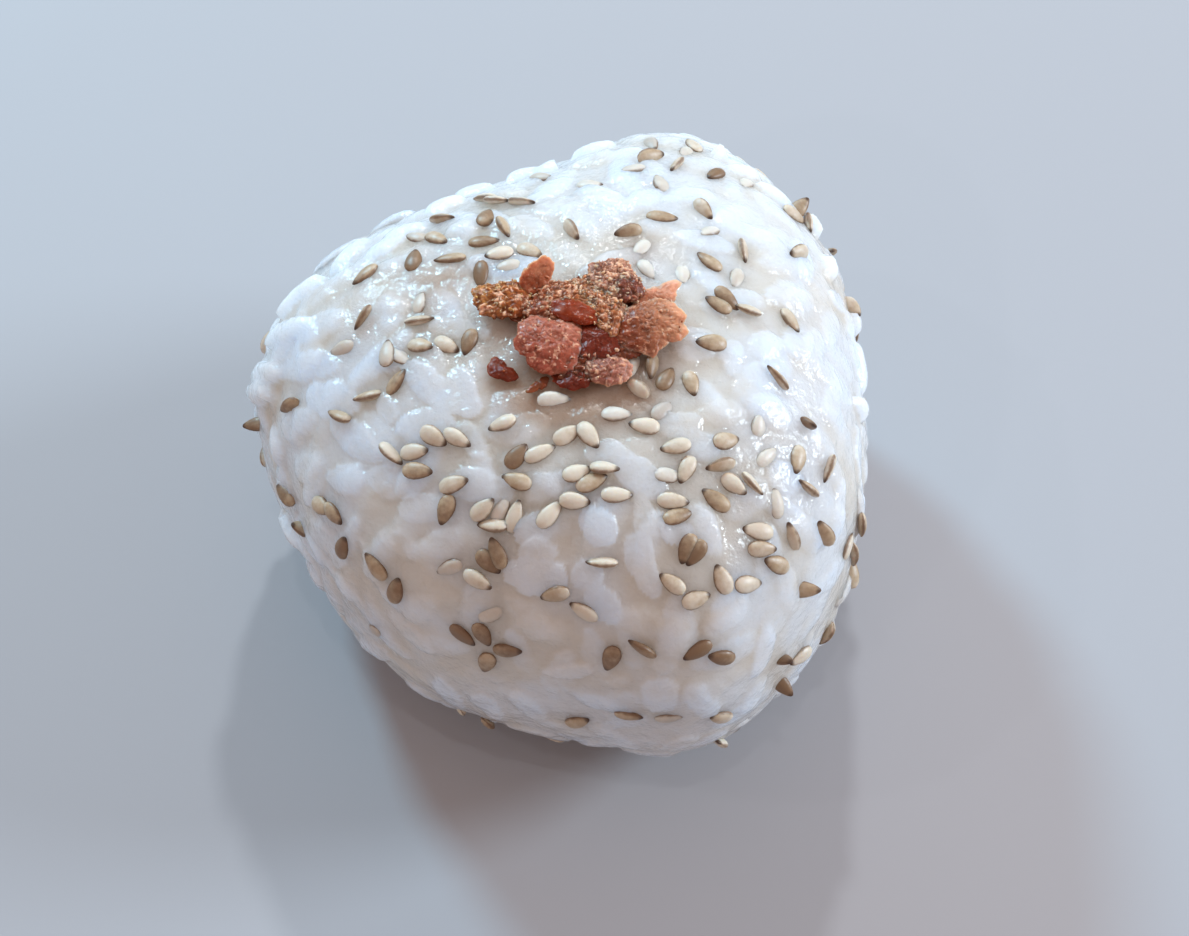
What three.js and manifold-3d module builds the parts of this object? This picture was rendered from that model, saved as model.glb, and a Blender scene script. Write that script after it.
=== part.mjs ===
// A hand-pressed rice ball (onigiri), lying on its flat side, with a small heap of flaked
// grilled salmon pressed into the middle of its upper face.
// Millimetres, +Z up. The origin is the middle of the flat spot that the ball rests on.
import * as THREE from 'three';
import { mergeVertices } from 'three/addons/utils/BufferGeometryUtils.js';
import Module from 'manifold-3d';

const wasm = await Module();
wasm.setup();

const DEGREES = Math.PI / 180;
const sameCorner = 1e-4; // corners of a mesh closer than this are one
const scatterStride = 127.1; // radians from one random number to the next
const scatterGain = 43758.5; // how far the sine behind the random numbers is blown up

// ---- Driving dimensions of the ball ------------------------------------------------------
const meanRadius = 29.6; // of the plan outline, round its middle
const thickness = 40; // from the flat spot to the top of the upper face
const girthHeight = 18.8; // height of the widest section
const flatPressed = 1.8; // how much of the round underside is pressed flat
const upperRoundness = 2.5; // exponent of the shoulder's curve: 2 is an ellipse, more is squarer
const lowerRoundness = 2.6;

// The plan outline is a circle swollen by waves: two to oval it, three to draw its corners.
const planWaves = [
  { count: 2, swell: 0.8, at: 63 },
  { count: 3, swell: 2.2, at: 57 },
  { count: 4, swell: 0.75, at: 63 },
  { count: 5, swell: 0.4, at: 13 },
];

// Places where the hands left a hollow or a lump on the outline.
const handMarks = [
  { at: 98, width: 9, swell: -1.3 },
  { at: 71, width: 9, swell: 1.6 },
  { at: -71, width: 11.5, swell: 2.0 },
  { at: 175, width: 11.5, swell: 1.1 },
];

// ---- Driving dimensions of the rice grains that make its surface uneven ------------------
const grainCount = 820;
const grainLength = 7.4;
const grainWidth = 3.6;
const grainRise = 1.2; // how far a grain's back stands above the bottom of a deep gap
const gapFloor = 0.35; // the gaps between grains are filled up to this share of the rise
const ballDetail = 17; // subdivisions of each edge of the icosahedron that the ball starts as

// ---- Driving dimensions of the salmon ---------------------------------------------------
const heapGap = 0.3; // between the rice and the underside of the heap
const flakeDetail = 2;

// A flake's edge goes in and out in three waves. swell is a share of the flake's size.
const raggedWaves = [
  { count: 3, swell: 0.16, shift: 2.1 },
  { count: 5, swell: 0.1, shift: 4.3 },
  { count: 8, swell: 0.05, shift: 1.7 },
];

// Each flake lies at a place on the upper face. length, width and thick are its size, turn is
// the heading of its length, lean lifts its far end, and lift is its middle above the rice.
const flakes = [
  { x: -7.4, y: -0.3, length: 5.0, width: 3.9, thick: 2.4, turn: 5, lean: 0, lift: 0.4 }, // golden end
  { x: -4.3, y: 1.5, length: 5.6, width: 2.8, thick: 1.8, turn: 65, lean: 32, lift: 1.2 }, // standing flake
  { x: -2.4, y: -0.2, length: 6.4, width: 3.6, thick: 2.6, turn: -8, lean: 0, lift: 0.7 }, // middle crumb
  { x: -0.9, y: -1.5, length: 4.8, width: 2.6, thick: 2.4, turn: -16, lean: 6, lift: 1.6 }, // smooth flake
  { x: -3.2, y: -5.0, length: 6.6, width: 5.8, thick: 2.8, turn: -10, lean: 5, lift: 0.7 }, // broad flake
  { x: 1.2, y: -4.4, length: 4.8, width: 4.4, thick: 3.0, turn: 30, lean: 0, lift: 0.8 }, // dark flake
  { x: 0.6, y: -7.6, length: 7.0, width: 3.6, thick: 2.6, turn: 4, lean: 0, lift: 0.6 }, // front flake
  { x: 2.6, y: 1.6, length: 4.9, width: 4.2, thick: 2.8, turn: 20, lean: 0, lift: 0.8 }, // back crumb
  { x: 1.6, y: -1.4, length: 4.4, width: 4.4, thick: 2.6, turn: 50, lean: 0, lift: 0.9 }, // inner crumb
  { x: 5.6, y: -3.6, length: 6.8, width: 5.8, thick: 2.2, turn: 20, lean: 12, lift: 0.9 }, // orange flake
  { x: 6.6, y: 0.1, length: 6.2, width: 2.2, thick: 1.6, turn: 38, lean: 16, lift: 1.2 }, // thin spike
];

// ---- The ball --------------------------------------------------------------------------

// An angle brought into -180 to 180 degrees.
function wrapDegrees(angle) {
  return ((((angle + 180) % 360) + 360) % 360) - 180;
}

// Radius of the widest section at a heading: the mean, plus each wave and each hand mark.
function planRadius(heading) {
  let radius = meanRadius;
  for (const wave of planWaves) {
    radius += wave.swell * Math.cos(wave.count * (heading - wave.at) * DEGREES);
  }
  for (const mark of handMarks) {
    radius += mark.swell * Math.exp(-((wrapDegrees(heading - mark.at) / mark.width) ** 2));
  }
  return radius;
}

// The point of the smooth ball in a direction. Its side is a superellipse, wide at the girth.
function smoothPoint(direction) {
  const heading = Math.atan2(direction.y, direction.x);
  const across = Math.hypot(direction.x, direction.y);
  const along = direction.z;
  const power = along >= 0 ? upperRoundness : lowerRoundness;
  const reach = (across ** power + Math.abs(along) ** power) ** (-1 / power);
  const radius = planRadius(heading / DEGREES) * across * reach;
  const depth = along >= 0 ? thickness - girthHeight : girthHeight + flatPressed;
  return new THREE.Vector3(
    radius * Math.cos(heading),
    radius * Math.sin(heading),
    girthHeight + depth * along * reach,
  );
}

// A number from 0 to 1 that looks random but is the same each time: the fraction of a sine
// that has been blown up far past one.
function scatter(seed) {
  const blownUp = Math.sin(seed * scatterStride) * scatterGain;
  return blownUp - Math.floor(blownUp);
}

// Grains spread over the ball on a sunflower spiral, each with its own heading.
function makeGrains() {
  const goldenTurn = Math.PI * (3 - Math.sqrt(5));
  const grains = [];
  for (let i = 0; i < grainCount; i += 1) {
    const level = 1 - (2 * (i + 0.5)) / grainCount;
    const ring = Math.sqrt(1 - level * level);
    const direction = new THREE.Vector3(
      ring * Math.cos(i * goldenTurn),
      ring * Math.sin(i * goldenTurn),
      level,
    );
    const middle = smoothPoint(direction);
    const anyWay = new THREE.Vector3(scatter(3 * i), scatter(3 * i + 1), scatter(3 * i + 2));
    const along = anyWay.subScalar(0.5).cross(direction).normalize();
    grains.push({ middle, along });
  }
  return grains;
}

// How far the grains stand out at a point: the highest of the domes that cover it, or the
// floor of the gap where none does.
function grainRelief(point, grains) {
  let highest = gapFloor;
  for (const grain of grains) {
    const offset = point.clone().sub(grain.middle);
    if (offset.lengthSq() > (grainLength / 2) ** 2) continue;
    const lengthwise = offset.dot(grain.along);
    const crosswise = Math.sqrt(Math.max(0, offset.lengthSq() - lengthwise ** 2));
    const edge = (lengthwise / (grainLength / 2)) ** 2 + (crosswise / (grainWidth / 2)) ** 2;
    if (edge < 1) highest = Math.max(highest, Math.sqrt(1 - edge));
  }
  return (highest - 1) * grainRise;
}

// Only the positions, with shared corners merged, so that the mesh is one closed surface.
function closedGeometry(geometry) {
  geometry.deleteAttribute('normal');
  geometry.deleteAttribute('uv');
  return mergeVertices(geometry, sameCorner);
}

// The uneven ball: each point of a sphere goes to the smooth ball, then in or out by the
// relief, and whatever would lie below the surface it rests on is pressed flat.
function makeBall() {
  const grains = makeGrains();
  const geometry = closedGeometry(new THREE.IcosahedronGeometry(1, ballDetail));
  const position = geometry.getAttribute('position');
  const direction = new THREE.Vector3();
  for (let i = 0; i < position.count; i += 1) {
    direction.fromBufferAttribute(position, i).normalize();
    const point = smoothPoint(direction);
    point.addScaledVector(direction, grainRelief(point, grains));
    position.setXYZ(i, point.x, point.y, Math.max(0, point.z));
  }
  return geometry;
}

// ---- The salmon ------------------------------------------------------------------------

// Height of the smooth ball's upper face over a place.
function faceHeight(x, y) {
  const share = Math.hypot(x, y) / planRadius(Math.atan2(y, x) / DEGREES);
  return girthHeight + (thickness - girthHeight) * (1 - share ** upperRoundness) ** (1 / upperRoundness);
}

// One ragged flake: a flattened ball whose edge goes in and out with the heading.
function makeFlake(flake, index) {
  const geometry = closedGeometry(new THREE.IcosahedronGeometry(0.5, flakeDetail));
  const position = geometry.getAttribute('position');
  for (let i = 0; i < position.count; i += 1) {
    const heading = Math.atan2(position.getY(i), position.getX(i));
    let ragged = 1;
    for (const wave of raggedWaves) {
      ragged += wave.swell * Math.sin(wave.count * heading + wave.shift * index);
    }
    position.setXYZ(i, position.getX(i) * ragged, position.getY(i) * ragged, position.getZ(i));
  }
  const size = new THREE.Matrix4().makeScale(flake.length, flake.width, flake.thick);
  const lean = new THREE.Matrix4().makeRotationY(-flake.lean * DEGREES);
  const turn = new THREE.Matrix4().makeRotationZ(flake.turn * DEGREES);
  const place = new THREE.Matrix4().makeTranslation(
    flake.x,
    flake.y,
    faceHeight(flake.x, flake.y) + flake.lift,
  );
  return geometry.applyMatrix4(size).applyMatrix4(lean).applyMatrix4(turn).applyMatrix4(place);
}

function toSolid(geometry) {
  return new wasm.Manifold(
    new wasm.Mesh({
      numProp: 3,
      vertProperties: new Float32Array(geometry.getAttribute('position').array),
      triVerts: new Uint32Array(geometry.index.array),
    }),
  );
}

function toGeometry(solid) {
  const mesh = solid.getMesh();
  const geometry = new THREE.BufferGeometry();
  geometry.setAttribute('position', new THREE.BufferAttribute(mesh.vertProperties, 3));
  geometry.setIndex(new THREE.BufferAttribute(mesh.triVerts, 1));
  geometry.computeVertexNormals();
  return geometry;
}

// The heap: all flakes joined, with the rice cut away from under them.
function makeHeap(ballGeometry) {
  let heap = toSolid(makeFlake(flakes[0], 0));
  flakes.slice(1).forEach((flake, i) => {
    heap = heap.add(toSolid(makeFlake(flake, i + 1)));
  });
  const raisedBall = toSolid(ballGeometry.clone().translate(0, 0, heapGap));
  return toGeometry(heap.subtract(raisedBall));
}

// ---- Assembly --------------------------------------------------------------------------

const riceMaterial = new THREE.MeshStandardMaterial({ color: '#e9e7e1', roughness: 0.35, metalness: 0 });
const salmonMaterial = new THREE.MeshStandardMaterial({ color: '#b4613f', roughness: 0.55, metalness: 0 });

const ballGeometry = makeBall();

const riceBall = new THREE.Mesh(ballGeometry, riceMaterial);
riceBall.name = 'rice_ball';

const salmonHeap = new THREE.Mesh(makeHeap(ballGeometry), salmonMaterial);
salmonHeap.name = 'salmon_heap';

const onigiri = new THREE.Group();
onigiri.name = 'onigiri';
onigiri.add(riceBall, salmonHeap);

export default onigiri;
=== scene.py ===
import math

import bpy
import numpy as np
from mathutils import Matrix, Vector
from mathutils.bvhtree import BVHTree


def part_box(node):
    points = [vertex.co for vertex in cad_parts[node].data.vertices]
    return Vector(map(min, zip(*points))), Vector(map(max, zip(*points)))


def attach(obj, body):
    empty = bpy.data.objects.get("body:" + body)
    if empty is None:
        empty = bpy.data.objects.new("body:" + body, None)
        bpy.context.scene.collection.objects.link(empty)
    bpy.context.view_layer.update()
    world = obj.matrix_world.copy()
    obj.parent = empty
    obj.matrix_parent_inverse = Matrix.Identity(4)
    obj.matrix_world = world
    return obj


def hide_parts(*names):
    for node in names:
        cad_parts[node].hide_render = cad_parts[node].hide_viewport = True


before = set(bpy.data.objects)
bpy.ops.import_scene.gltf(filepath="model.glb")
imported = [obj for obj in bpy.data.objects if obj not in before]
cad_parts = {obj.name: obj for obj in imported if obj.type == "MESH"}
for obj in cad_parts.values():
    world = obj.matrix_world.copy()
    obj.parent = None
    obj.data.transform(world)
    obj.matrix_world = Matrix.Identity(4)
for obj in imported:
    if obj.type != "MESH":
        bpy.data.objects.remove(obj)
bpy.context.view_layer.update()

# A hand-pressed rice ball: real grains over a soft core, sesame seeds stuck to it, and a small
# heap of flaked salmon. Shapes are worked out in millimetres and made in metres.
mm = 0.001
scene = bpy.context.scene
chance = np.random.default_rng(7)

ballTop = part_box("rice_ball")[1][2] / mm
heapLow, heapHigh = (np.array(corner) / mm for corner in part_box("salmon_heap"))


# Vectors scaled to length one, along the last axis.
def unit(vectors, shortest=1e-9):
    return vectors / np.maximum(np.linalg.norm(vectors, axis=-1, keepdims=True), shortest)


# Each vector's dot product with the one beside it.
def dot(first, second):
    return np.sum(first * second, axis=-1, keepdims=True)


# The camera's place and aim are in millimetres.
viewpoint = {
    "lens": 62.37,  # on a sensor 36 mm wide
    "sensor": 36.0,
    "place": (0.96, -117.79, 181.68),
    "aim": (0.96, -3.07, 17.85),
    "clip": (0.01, 20),  # m
    "frameWidth": 1189,  # pixels that the places below are given in
    "frameHeight": 936,
}


def makeCamera():
    data = bpy.data.cameras.new("camera")
    data.lens = viewpoint["lens"]
    data.sensor_width = viewpoint["sensor"]
    data.clip_start, data.clip_end = viewpoint["clip"]
    camera = bpy.data.objects.new("camera", data)
    scene.collection.objects.link(camera)
    place, aim = Vector(viewpoint["place"]) * mm, Vector(viewpoint["aim"]) * mm
    camera.location = place
    camera.rotation_euler = (aim - place).to_track_quat("-Z", "Y").to_euler()
    scene.camera = camera


eye = np.array(viewpoint["place"])
sight = unit(np.array(viewpoint["aim"]) - eye)
frameRight = np.array([1.0, 0.0, 0.0])
frameUp = np.cross(frameRight, sight)
focalPixels = viewpoint["lens"] / viewpoint["sensor"] * viewpoint["frameWidth"]


# The ray through a pixel: forwards, plus its distance from the middle over the focal length.
def pixelRay(x, y):
    across = (x - viewpoint["frameWidth"] / 2) / focalPixels
    down = (y - viewpoint["frameHeight"] / 2) / focalPixels
    return unit(sight + across * frameRight - down * frameUp)


# A closed grid from pole to pole: how far along each point is (0 to 1), its angle round, and
# the faces, which point outwards.
def poleGrid(rings, spokes):
    steps = np.arange(1, rings) / rings
    angles = np.arange(spokes) * 2 * np.pi / spokes
    along = np.concatenate([[0], np.repeat(steps, spokes), [1]])
    around = np.concatenate([[0], np.tile(angles, rings - 1), [0]])
    here = 1 + np.arange(spokes * (rings - 1)).reshape(rings - 1, spokes)
    beside = np.roll(here, -1, axis=1)
    last = len(along) - 1
    start = np.stack([np.zeros(spokes, int), beside[0], here[0]], axis=-1)
    body = np.stack([here[:-1], beside[:-1], beside[1:], here[1:]], axis=-1).reshape(-1, 4)
    end = np.stack([np.full(spokes, last), here[-1], beside[-1]], axis=-1)
    return along, around, [start, body, end]


# Directions all round a centre: from straight down, along 0, to straight up, along 1.
def directionsAt(along, around):
    level = np.pi * along
    return np.stack(
        [np.sin(level) * np.cos(around), np.sin(level) * np.sin(around), -np.cos(level)], axis=-1
    )


# The same faces for each of many copies, numbered on from copy to copy.
def repeatFaces(faces, copies, pointsEach):
    shift = np.arange(copies)[:, None, None] * pointsEach
    return [(part[None] + shift).reshape(-1, part.shape[1]) for part in faces]


def facesToLists(faces):
    return [face for part in faces for face in part.tolist()]


# A mesh object from points in millimetres, with named numbers or colours on its points.
def makePiece(name, points, faces, material, numbers):
    mesh = bpy.data.meshes.new(name)
    mesh.from_pydata((points.reshape(-1, 3) * mm).tolist(), [], facesToLists(faces))
    for label, values in numbers.items():
        if np.ndim(values) == 2 and np.shape(values)[1] == 3:
            layer = mesh.attributes.new(label, "FLOAT_COLOR", "POINT")
            opaque = np.concatenate([values, np.ones((len(values), 1))], axis=1)
            layer.data.foreach_set("color", opaque.ravel().astype(np.float32))
        else:
            layer = mesh.attributes.new(label, "FLOAT", "POINT")
            layer.data.foreach_set("value", np.ravel(values).astype(np.float32))
    mesh.shade_smooth()
    mesh.materials.append(material)
    piece = bpy.data.objects.new(name, mesh)
    scene.collection.objects.link(piece)
    return piece


# A tree for finding where a ray meets the given shapes.
def rayTree(*shapes):
    points, polygons, count = [], [], 0
    for shapePoints, faces in shapes:
        flat = shapePoints.reshape(-1, 3)
        points.append(flat)
        polygons += facesToLists([part + count for part in faces])
        count += len(flat)
    return BVHTree.FromPolygons(np.concatenate(points).tolist(), polygons)


# Smooth noise about 1 high: waves of nearly one length, size, run across space in many
# directions, and their sines are summed.
def waveNoise(points, size, start, waves=14, closeness=(0.7, 1.4)):
    draw = np.random.default_rng(start)
    headings = unit(draw.normal(size=(waves, 3))) * (2 * np.pi / size)
    headings *= draw.uniform(*closeness, size=(waves, 1))
    phases = draw.uniform(0, 2 * np.pi, size=waves)
    return np.sin(points @ headings.T + phases).sum(axis=-1) / math.sqrt(waves)


# Large odd numbers, so that the sine of a cell's whole numbers times them, blown up, leaves a
# fraction that looks random.
cellMix = np.array([[127.1, 269.5, 419.2], [311.7, 183.3, 371.9], [74.7, 246.1, 168.2]])
blowUp = 43758.5
numberMix = 31


# Grainy noise: distance to the nearest of the dots strewn one to a cell, in cells, and that
# dot's own number from 0 to 1.
def crumbNoise(points, size, start):
    scaled = points / size
    cell = np.floor(scaled)
    nearest, number = np.full(points.shape[:-1], np.inf), np.zeros(points.shape[:-1])
    for step in np.ndindex(3, 3, 3):
        corner = cell + np.array(step) - 1
        strewn = np.sin(corner @ cellMix + start) * blowUp
        strewn = strewn - np.floor(strewn)
        away = np.linalg.norm(corner + strewn - scaled, axis=-1)
        number = np.where(away < nearest, strewn[..., 0] * numberMix % 1, number)
        nearest = np.minimum(nearest, away)
    return nearest, number


# A socket that can be used in sums: each operator adds a Math node.
class Wire:
    def __init__(self, finish, socket):
        self.finish = finish
        self.socket = socket

    def sum(self, operation, first, second):
        return self.finish.add("ShaderNodeMath", {"operation": operation}, {0: first, 1: second})

    def __add__(self, other):
        return self.sum("ADD", self, other)

    def __radd__(self, other):
        return self.sum("ADD", other, self)

    def __sub__(self, other):
        return self.sum("SUBTRACT", self, other)

    def __rsub__(self, other):
        return self.sum("SUBTRACT", other, self)

    def __mul__(self, other):
        return self.sum("MULTIPLY", self, other)

    # The value spread so that low becomes 0 and high becomes 1, held between the two.
    def between(self, low, high):
        settings = {"clamp": True, "interpolation_type": "SMOOTHSTEP"}
        values = {"Value": self, "From Min": low, "From Max": high}
        return self.finish.add("ShaderNodeMapRange", settings, values)


# One material. add makes any node from its type, its settings and its sockets' values.
class Finish:
    def __init__(self, name):
        self.material = bpy.data.materials.new(name)
        self.material.use_nodes = True
        self.nodes = self.material.node_tree.nodes
        self.links = self.material.node_tree.links
        self.nodes.clear()
        self.place = self.add("ShaderNodeTexCoord", output="Object")

    def add(self, kind, settings=None, values=None, output=0):
        node = self.nodes.new(kind)
        for name, setting in (settings or {}).items():
            setattr(node, name, setting)
        for name, value in (values or {}).items():
            if isinstance(value, Wire):
                self.links.new(value.socket, node.inputs[name])
            elif value is not None:
                node.inputs[name].default_value = value
        return Wire(self, node.outputs[output])

    def number(self, label):
        return self.add("ShaderNodeAttribute", {"attribute_name": label}, output="Fac")

    def colour(self, label):
        return self.add("ShaderNodeAttribute", {"attribute_name": label}, output="Color")

    # Noise on the object's own coordinates, its lumps about size millimetres across.
    def noise(self, size, detail=3.0, roughness=0.55):
        values = {
            "Vector": self.place,
            "Scale": 1 / (size * mm),
            "Detail": detail,
            "Roughness": roughness,
        }
        return self.add("ShaderNodeTexNoise", None, values)

    # How far each point is from the walls of irregular cells about size millimetres across, as a
    # share of that; the walls are bent by a noise worth bend millimetres.
    def cells(self, size, bend):
        values = {"Vector": self.place, "Scale": 1 / (size * 0.6 * mm), "Detail": 0.5}
        swing = self.add("ShaderNodeTexNoise", None, values, output="Color")
        values = {0: swing, 1: (bend * mm,) * 3, 2: self.place}
        bent = self.add("ShaderNodeVectorMath", {"operation": "MULTIPLY_ADD"}, values)
        values = {"Vector": bent, "Scale": 1 / (size * mm)}
        return self.add("ShaderNodeTexVoronoi", {"feature": "DISTANCE_TO_EDGE"}, values)

    def blend(self, mask, first, second):
        values = {0: mask, 6: first, 7: second}
        return self.add("ShaderNodeMix", {"data_type": "RGBA"}, values, output=2)

    def bump(self, height, depth, strength=1.0):
        values = {"Height": height, "Distance": depth * mm, "Strength": strength}
        return self.add("ShaderNodeBump", None, values)

    def surface(self, values):
        shader = self.add("ShaderNodeBsdfPrincipled", None, values)
        end = self.nodes.new("ShaderNodeOutputMaterial")
        self.links.new(shader.socket, end.inputs["Surface"])
        return self.material


def rgb(red, green, blue):
    return (red, green, blue, 1.0)


# The ball's smooth skin, which the grains and seeds lie on.
skin = {
    "rows": 61,
    "columns": 120,
    "blur": 0.07,  # radians: how far the CAD solid's relief is smoothed over
    "raise": 0.35,  # mm added, so that the skin lies over the relief's higher places
    "middle": 0.47,  # height of the centre, as a share of the ball's
    "step": 0.03,  # radians, for finding which way it faces
    "grid": (90, 180),  # rings and spokes of the mesh that rays are cast at
}
ballCentre = np.array([0.0, 0.0, skin["middle"] * ballTop])


# Radius in each direction: the mean distance of the CAD solid's corners that lie that way,
# each weighed by how close its direction is.
def measureSkin(node):
    flat = np.empty(len(node.data.vertices) * 3, np.float32)
    node.data.vertices.foreach_get("co", flat)
    corners = np.unique(np.round(flat.reshape(-1, 3) / mm, 3), axis=0) - ballCentre
    reach = np.linalg.norm(corners, axis=-1)
    heading = corners / reach[:, None]
    along = np.linspace(0, 1, skin["rows"])
    around = np.arange(skin["columns"]) * 2 * np.pi / skin["columns"]
    table = np.empty((skin["rows"], skin["columns"]))
    for row in range(skin["rows"]):
        wanted = directionsAt(np.full(skin["columns"], along[row]), around)
        weight = np.exp((wanted @ heading.T - 1) / skin["blur"] ** 2)
        table[row] = weight @ reach / weight.sum(axis=1)
    return table + skin["raise"]


skinTable = measureSkin(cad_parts["rice_ball"])


# The skin's radius in any directions: read from the table between its nearest four entries.
def skinRadius(directions):
    level = np.arccos(np.clip(-directions[..., 2], -1, 1)) / np.pi * (skin["rows"] - 1)
    turn = np.arctan2(directions[..., 1], directions[..., 0]) % (2 * np.pi)
    turn = turn / (2 * np.pi) * skin["columns"]
    row = np.minimum(level.astype(int), skin["rows"] - 2)
    column = turn.astype(int) % skin["columns"]
    nextColumn = (column + 1) % skin["columns"]
    down, side = level - row, turn - np.floor(turn)
    lower = skinTable[row, column] * (1 - side) + skinTable[row, nextColumn] * side
    upper = skinTable[row + 1, column] * (1 - side) + skinTable[row + 1, nextColumn] * side
    return lower * (1 - down) + upper * down


def skinPoint(directions):
    return ballCentre + directions * skinRadius(directions)[..., None]


# Outward direction of the skin: square to two short steps over it.
def skinNormal(directions, nearPole=0.9):
    step = skin["step"]
    polar = np.abs(directions[..., 2:]) > nearPole
    level = np.where(polar, [[1.0, 0.0, 0.0]], [[0.0, 0.0, 1.0]])
    level = level.reshape(directions.shape)
    sideways = unit(np.cross(level, directions)) * step
    upwards = unit(np.cross(directions, sideways)) * step
    first = skinPoint(unit(directions + sideways)) - skinPoint(unit(directions - sideways))
    second = skinPoint(unit(directions + upwards)) - skinPoint(unit(directions - upwards))
    return unit(np.cross(first, second))


# How far points stand above the skin, in millimetres.
def skinHeight(points):
    arms = points - ballCentre
    return np.linalg.norm(arms, axis=-1) - skinRadius(unit(arms))


# Points as the hands press them: what stands proud is squeezed down to less than the limit,
# and nothing goes below the surface that the ball rests on.
def pressed(points, limit):
    arms = points - ballCentre
    reach = np.linalg.norm(arms, axis=-1)
    directions = arms / reach[..., None]
    high = reach - skinRadius(directions)
    squeezed = np.where(high > 0, limit * np.tanh(high / limit), high)
    moved = ballCentre + directions * (reach - high + squeezed)[..., None]
    moved[..., 2] = np.maximum(moved[..., 2], 0)
    return moved


# Where a ray through the pixel meets the shape, and the ray. A pixel just off the ball's edge is
# moved towards the ball's middle until it does.
def touch(tree, x, y):
    middleX, middleY = 570.0, 440.0
    spot, moved, nudge = None, 0.0, 0.008
    while spot is None:
        ray = pixelRay(x + (middleX - x) * moved, y + (middleY - y) * moved)
        spot = tree.ray_cast(Vector(eye), Vector(ray))[0]
        moved += nudge
    return np.array(spot), ray


# A heading in the frame, in degrees from right towards up, as a direction along the surface
# that has the normal, so that from the camera it still points the same way. Where the surface
# is seen at a grazing angle, it is taken to face the camera a little more.
def shownAlong(ray, normal, heading, grazing=-0.3):
    angle = math.radians(heading)
    shown = frameRight * math.cos(angle) + frameUp * math.sin(angle)
    facing = min(float(ray @ normal), grazing)
    along = shown - ray * (float(shown @ normal) / facing)
    return unit(along - normal * (along @ normal))


anyWay = np.array([0.31, 0.82, 0.48])  # nothing on the ball faces exactly this way


# The direction along the surface at an angle from one that is square to anyWay.
def turnedAlong(normal, angle):
    first = unit(np.cross(normal, anyWay))
    return first * np.cos(angle) + np.cross(normal, first) * np.sin(angle)


skinAlong, skinAround, skinFaces = poleGrid(*skin["grid"])
skinTree = rayTree((skinPoint(directionsAt(skinAlong, skinAround)), skinFaces))
print("skin measured")

# Rice.
grain = {
    "length": 6.9,
    "width": 3.1,
    "thick": 2.5,
    "vary": 0.12,  # share by which sizes differ
    "bend": 0.35,  # mm that the ends curve away
    "roll": 0.5,  # radians that a grain rolls to either side at most
    "rings": 9,
    "spokes": 12,
    "proud": 1.80,  # mm that a pressed grain may stand above the skin
    "scatter": 0.9,  # mm that light scatters inside a loose one
    "loose": 0.22,  # share of the outer grains that are loose, where they turn away from the camera
    "turned": 0.15,  # cosine of the angle between a grain's normal and the camera there
    "raised": (0.25, 0.45),  # mm that the others are raised, on the shown side and elsewhere
    "tones": (0.2, 1),  # darkest and whitest of those
    "clear": 3.2,  # mm from the middle of a known grain that they keep away
    "dull": 0.3,  # how glassy the rice may be where they lie
    "low": 0.5,  # mm: a known grain that stands out less is pressed flat
    "stand": 2.2,  # times that its back would stand out if it weren't pressed
    "rim": 10,  # degrees that a known grain rolls, so that its upper side stands out
    "pressed": 0.62,  # a known grain's thickness over its width
    # Where a known grain's painted light begins and grows to full, by how far it stands out:
    "milky": (0.14, 0.24),  # mm that a known grain stands out where it whitens, over how many more
    "plump": 0.8,  # power of the sine that gives its width: below one, so plump
    "straighter": 0.12,  # share by which one side is
    "tipSpread": 0.6,  # share of its layer's tip that is usual
}
# Buried grains are pressed into one sticky mass and only shape the core. Outer grains lie on it
# where no known grain does, most of them pressed flat and the rest loose pieces of their own.
# For each: how many are tried, how close they may come (in grain widths), how far their middles
# lie under the skin and how much that differs, in mm, and how far they tip, in degrees.
buriedGrains = {"tries": 6000, "spacing": 0.80, "sunk": 1.15, "differ": 0.40, "tip": 16}
outerGrains = {"tries": 2500, "spacing": 1.30, "sunk": 0.95, "differ": 0.25, "tip": 12}
room = {
    "spots": np.array([-0.3, 0, 0.3]),  # where a grain keeps its distance, as shares of its length
    "reach": 0.9,  # lengths within which other grains are looked at
    "headings": 8,
}
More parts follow.
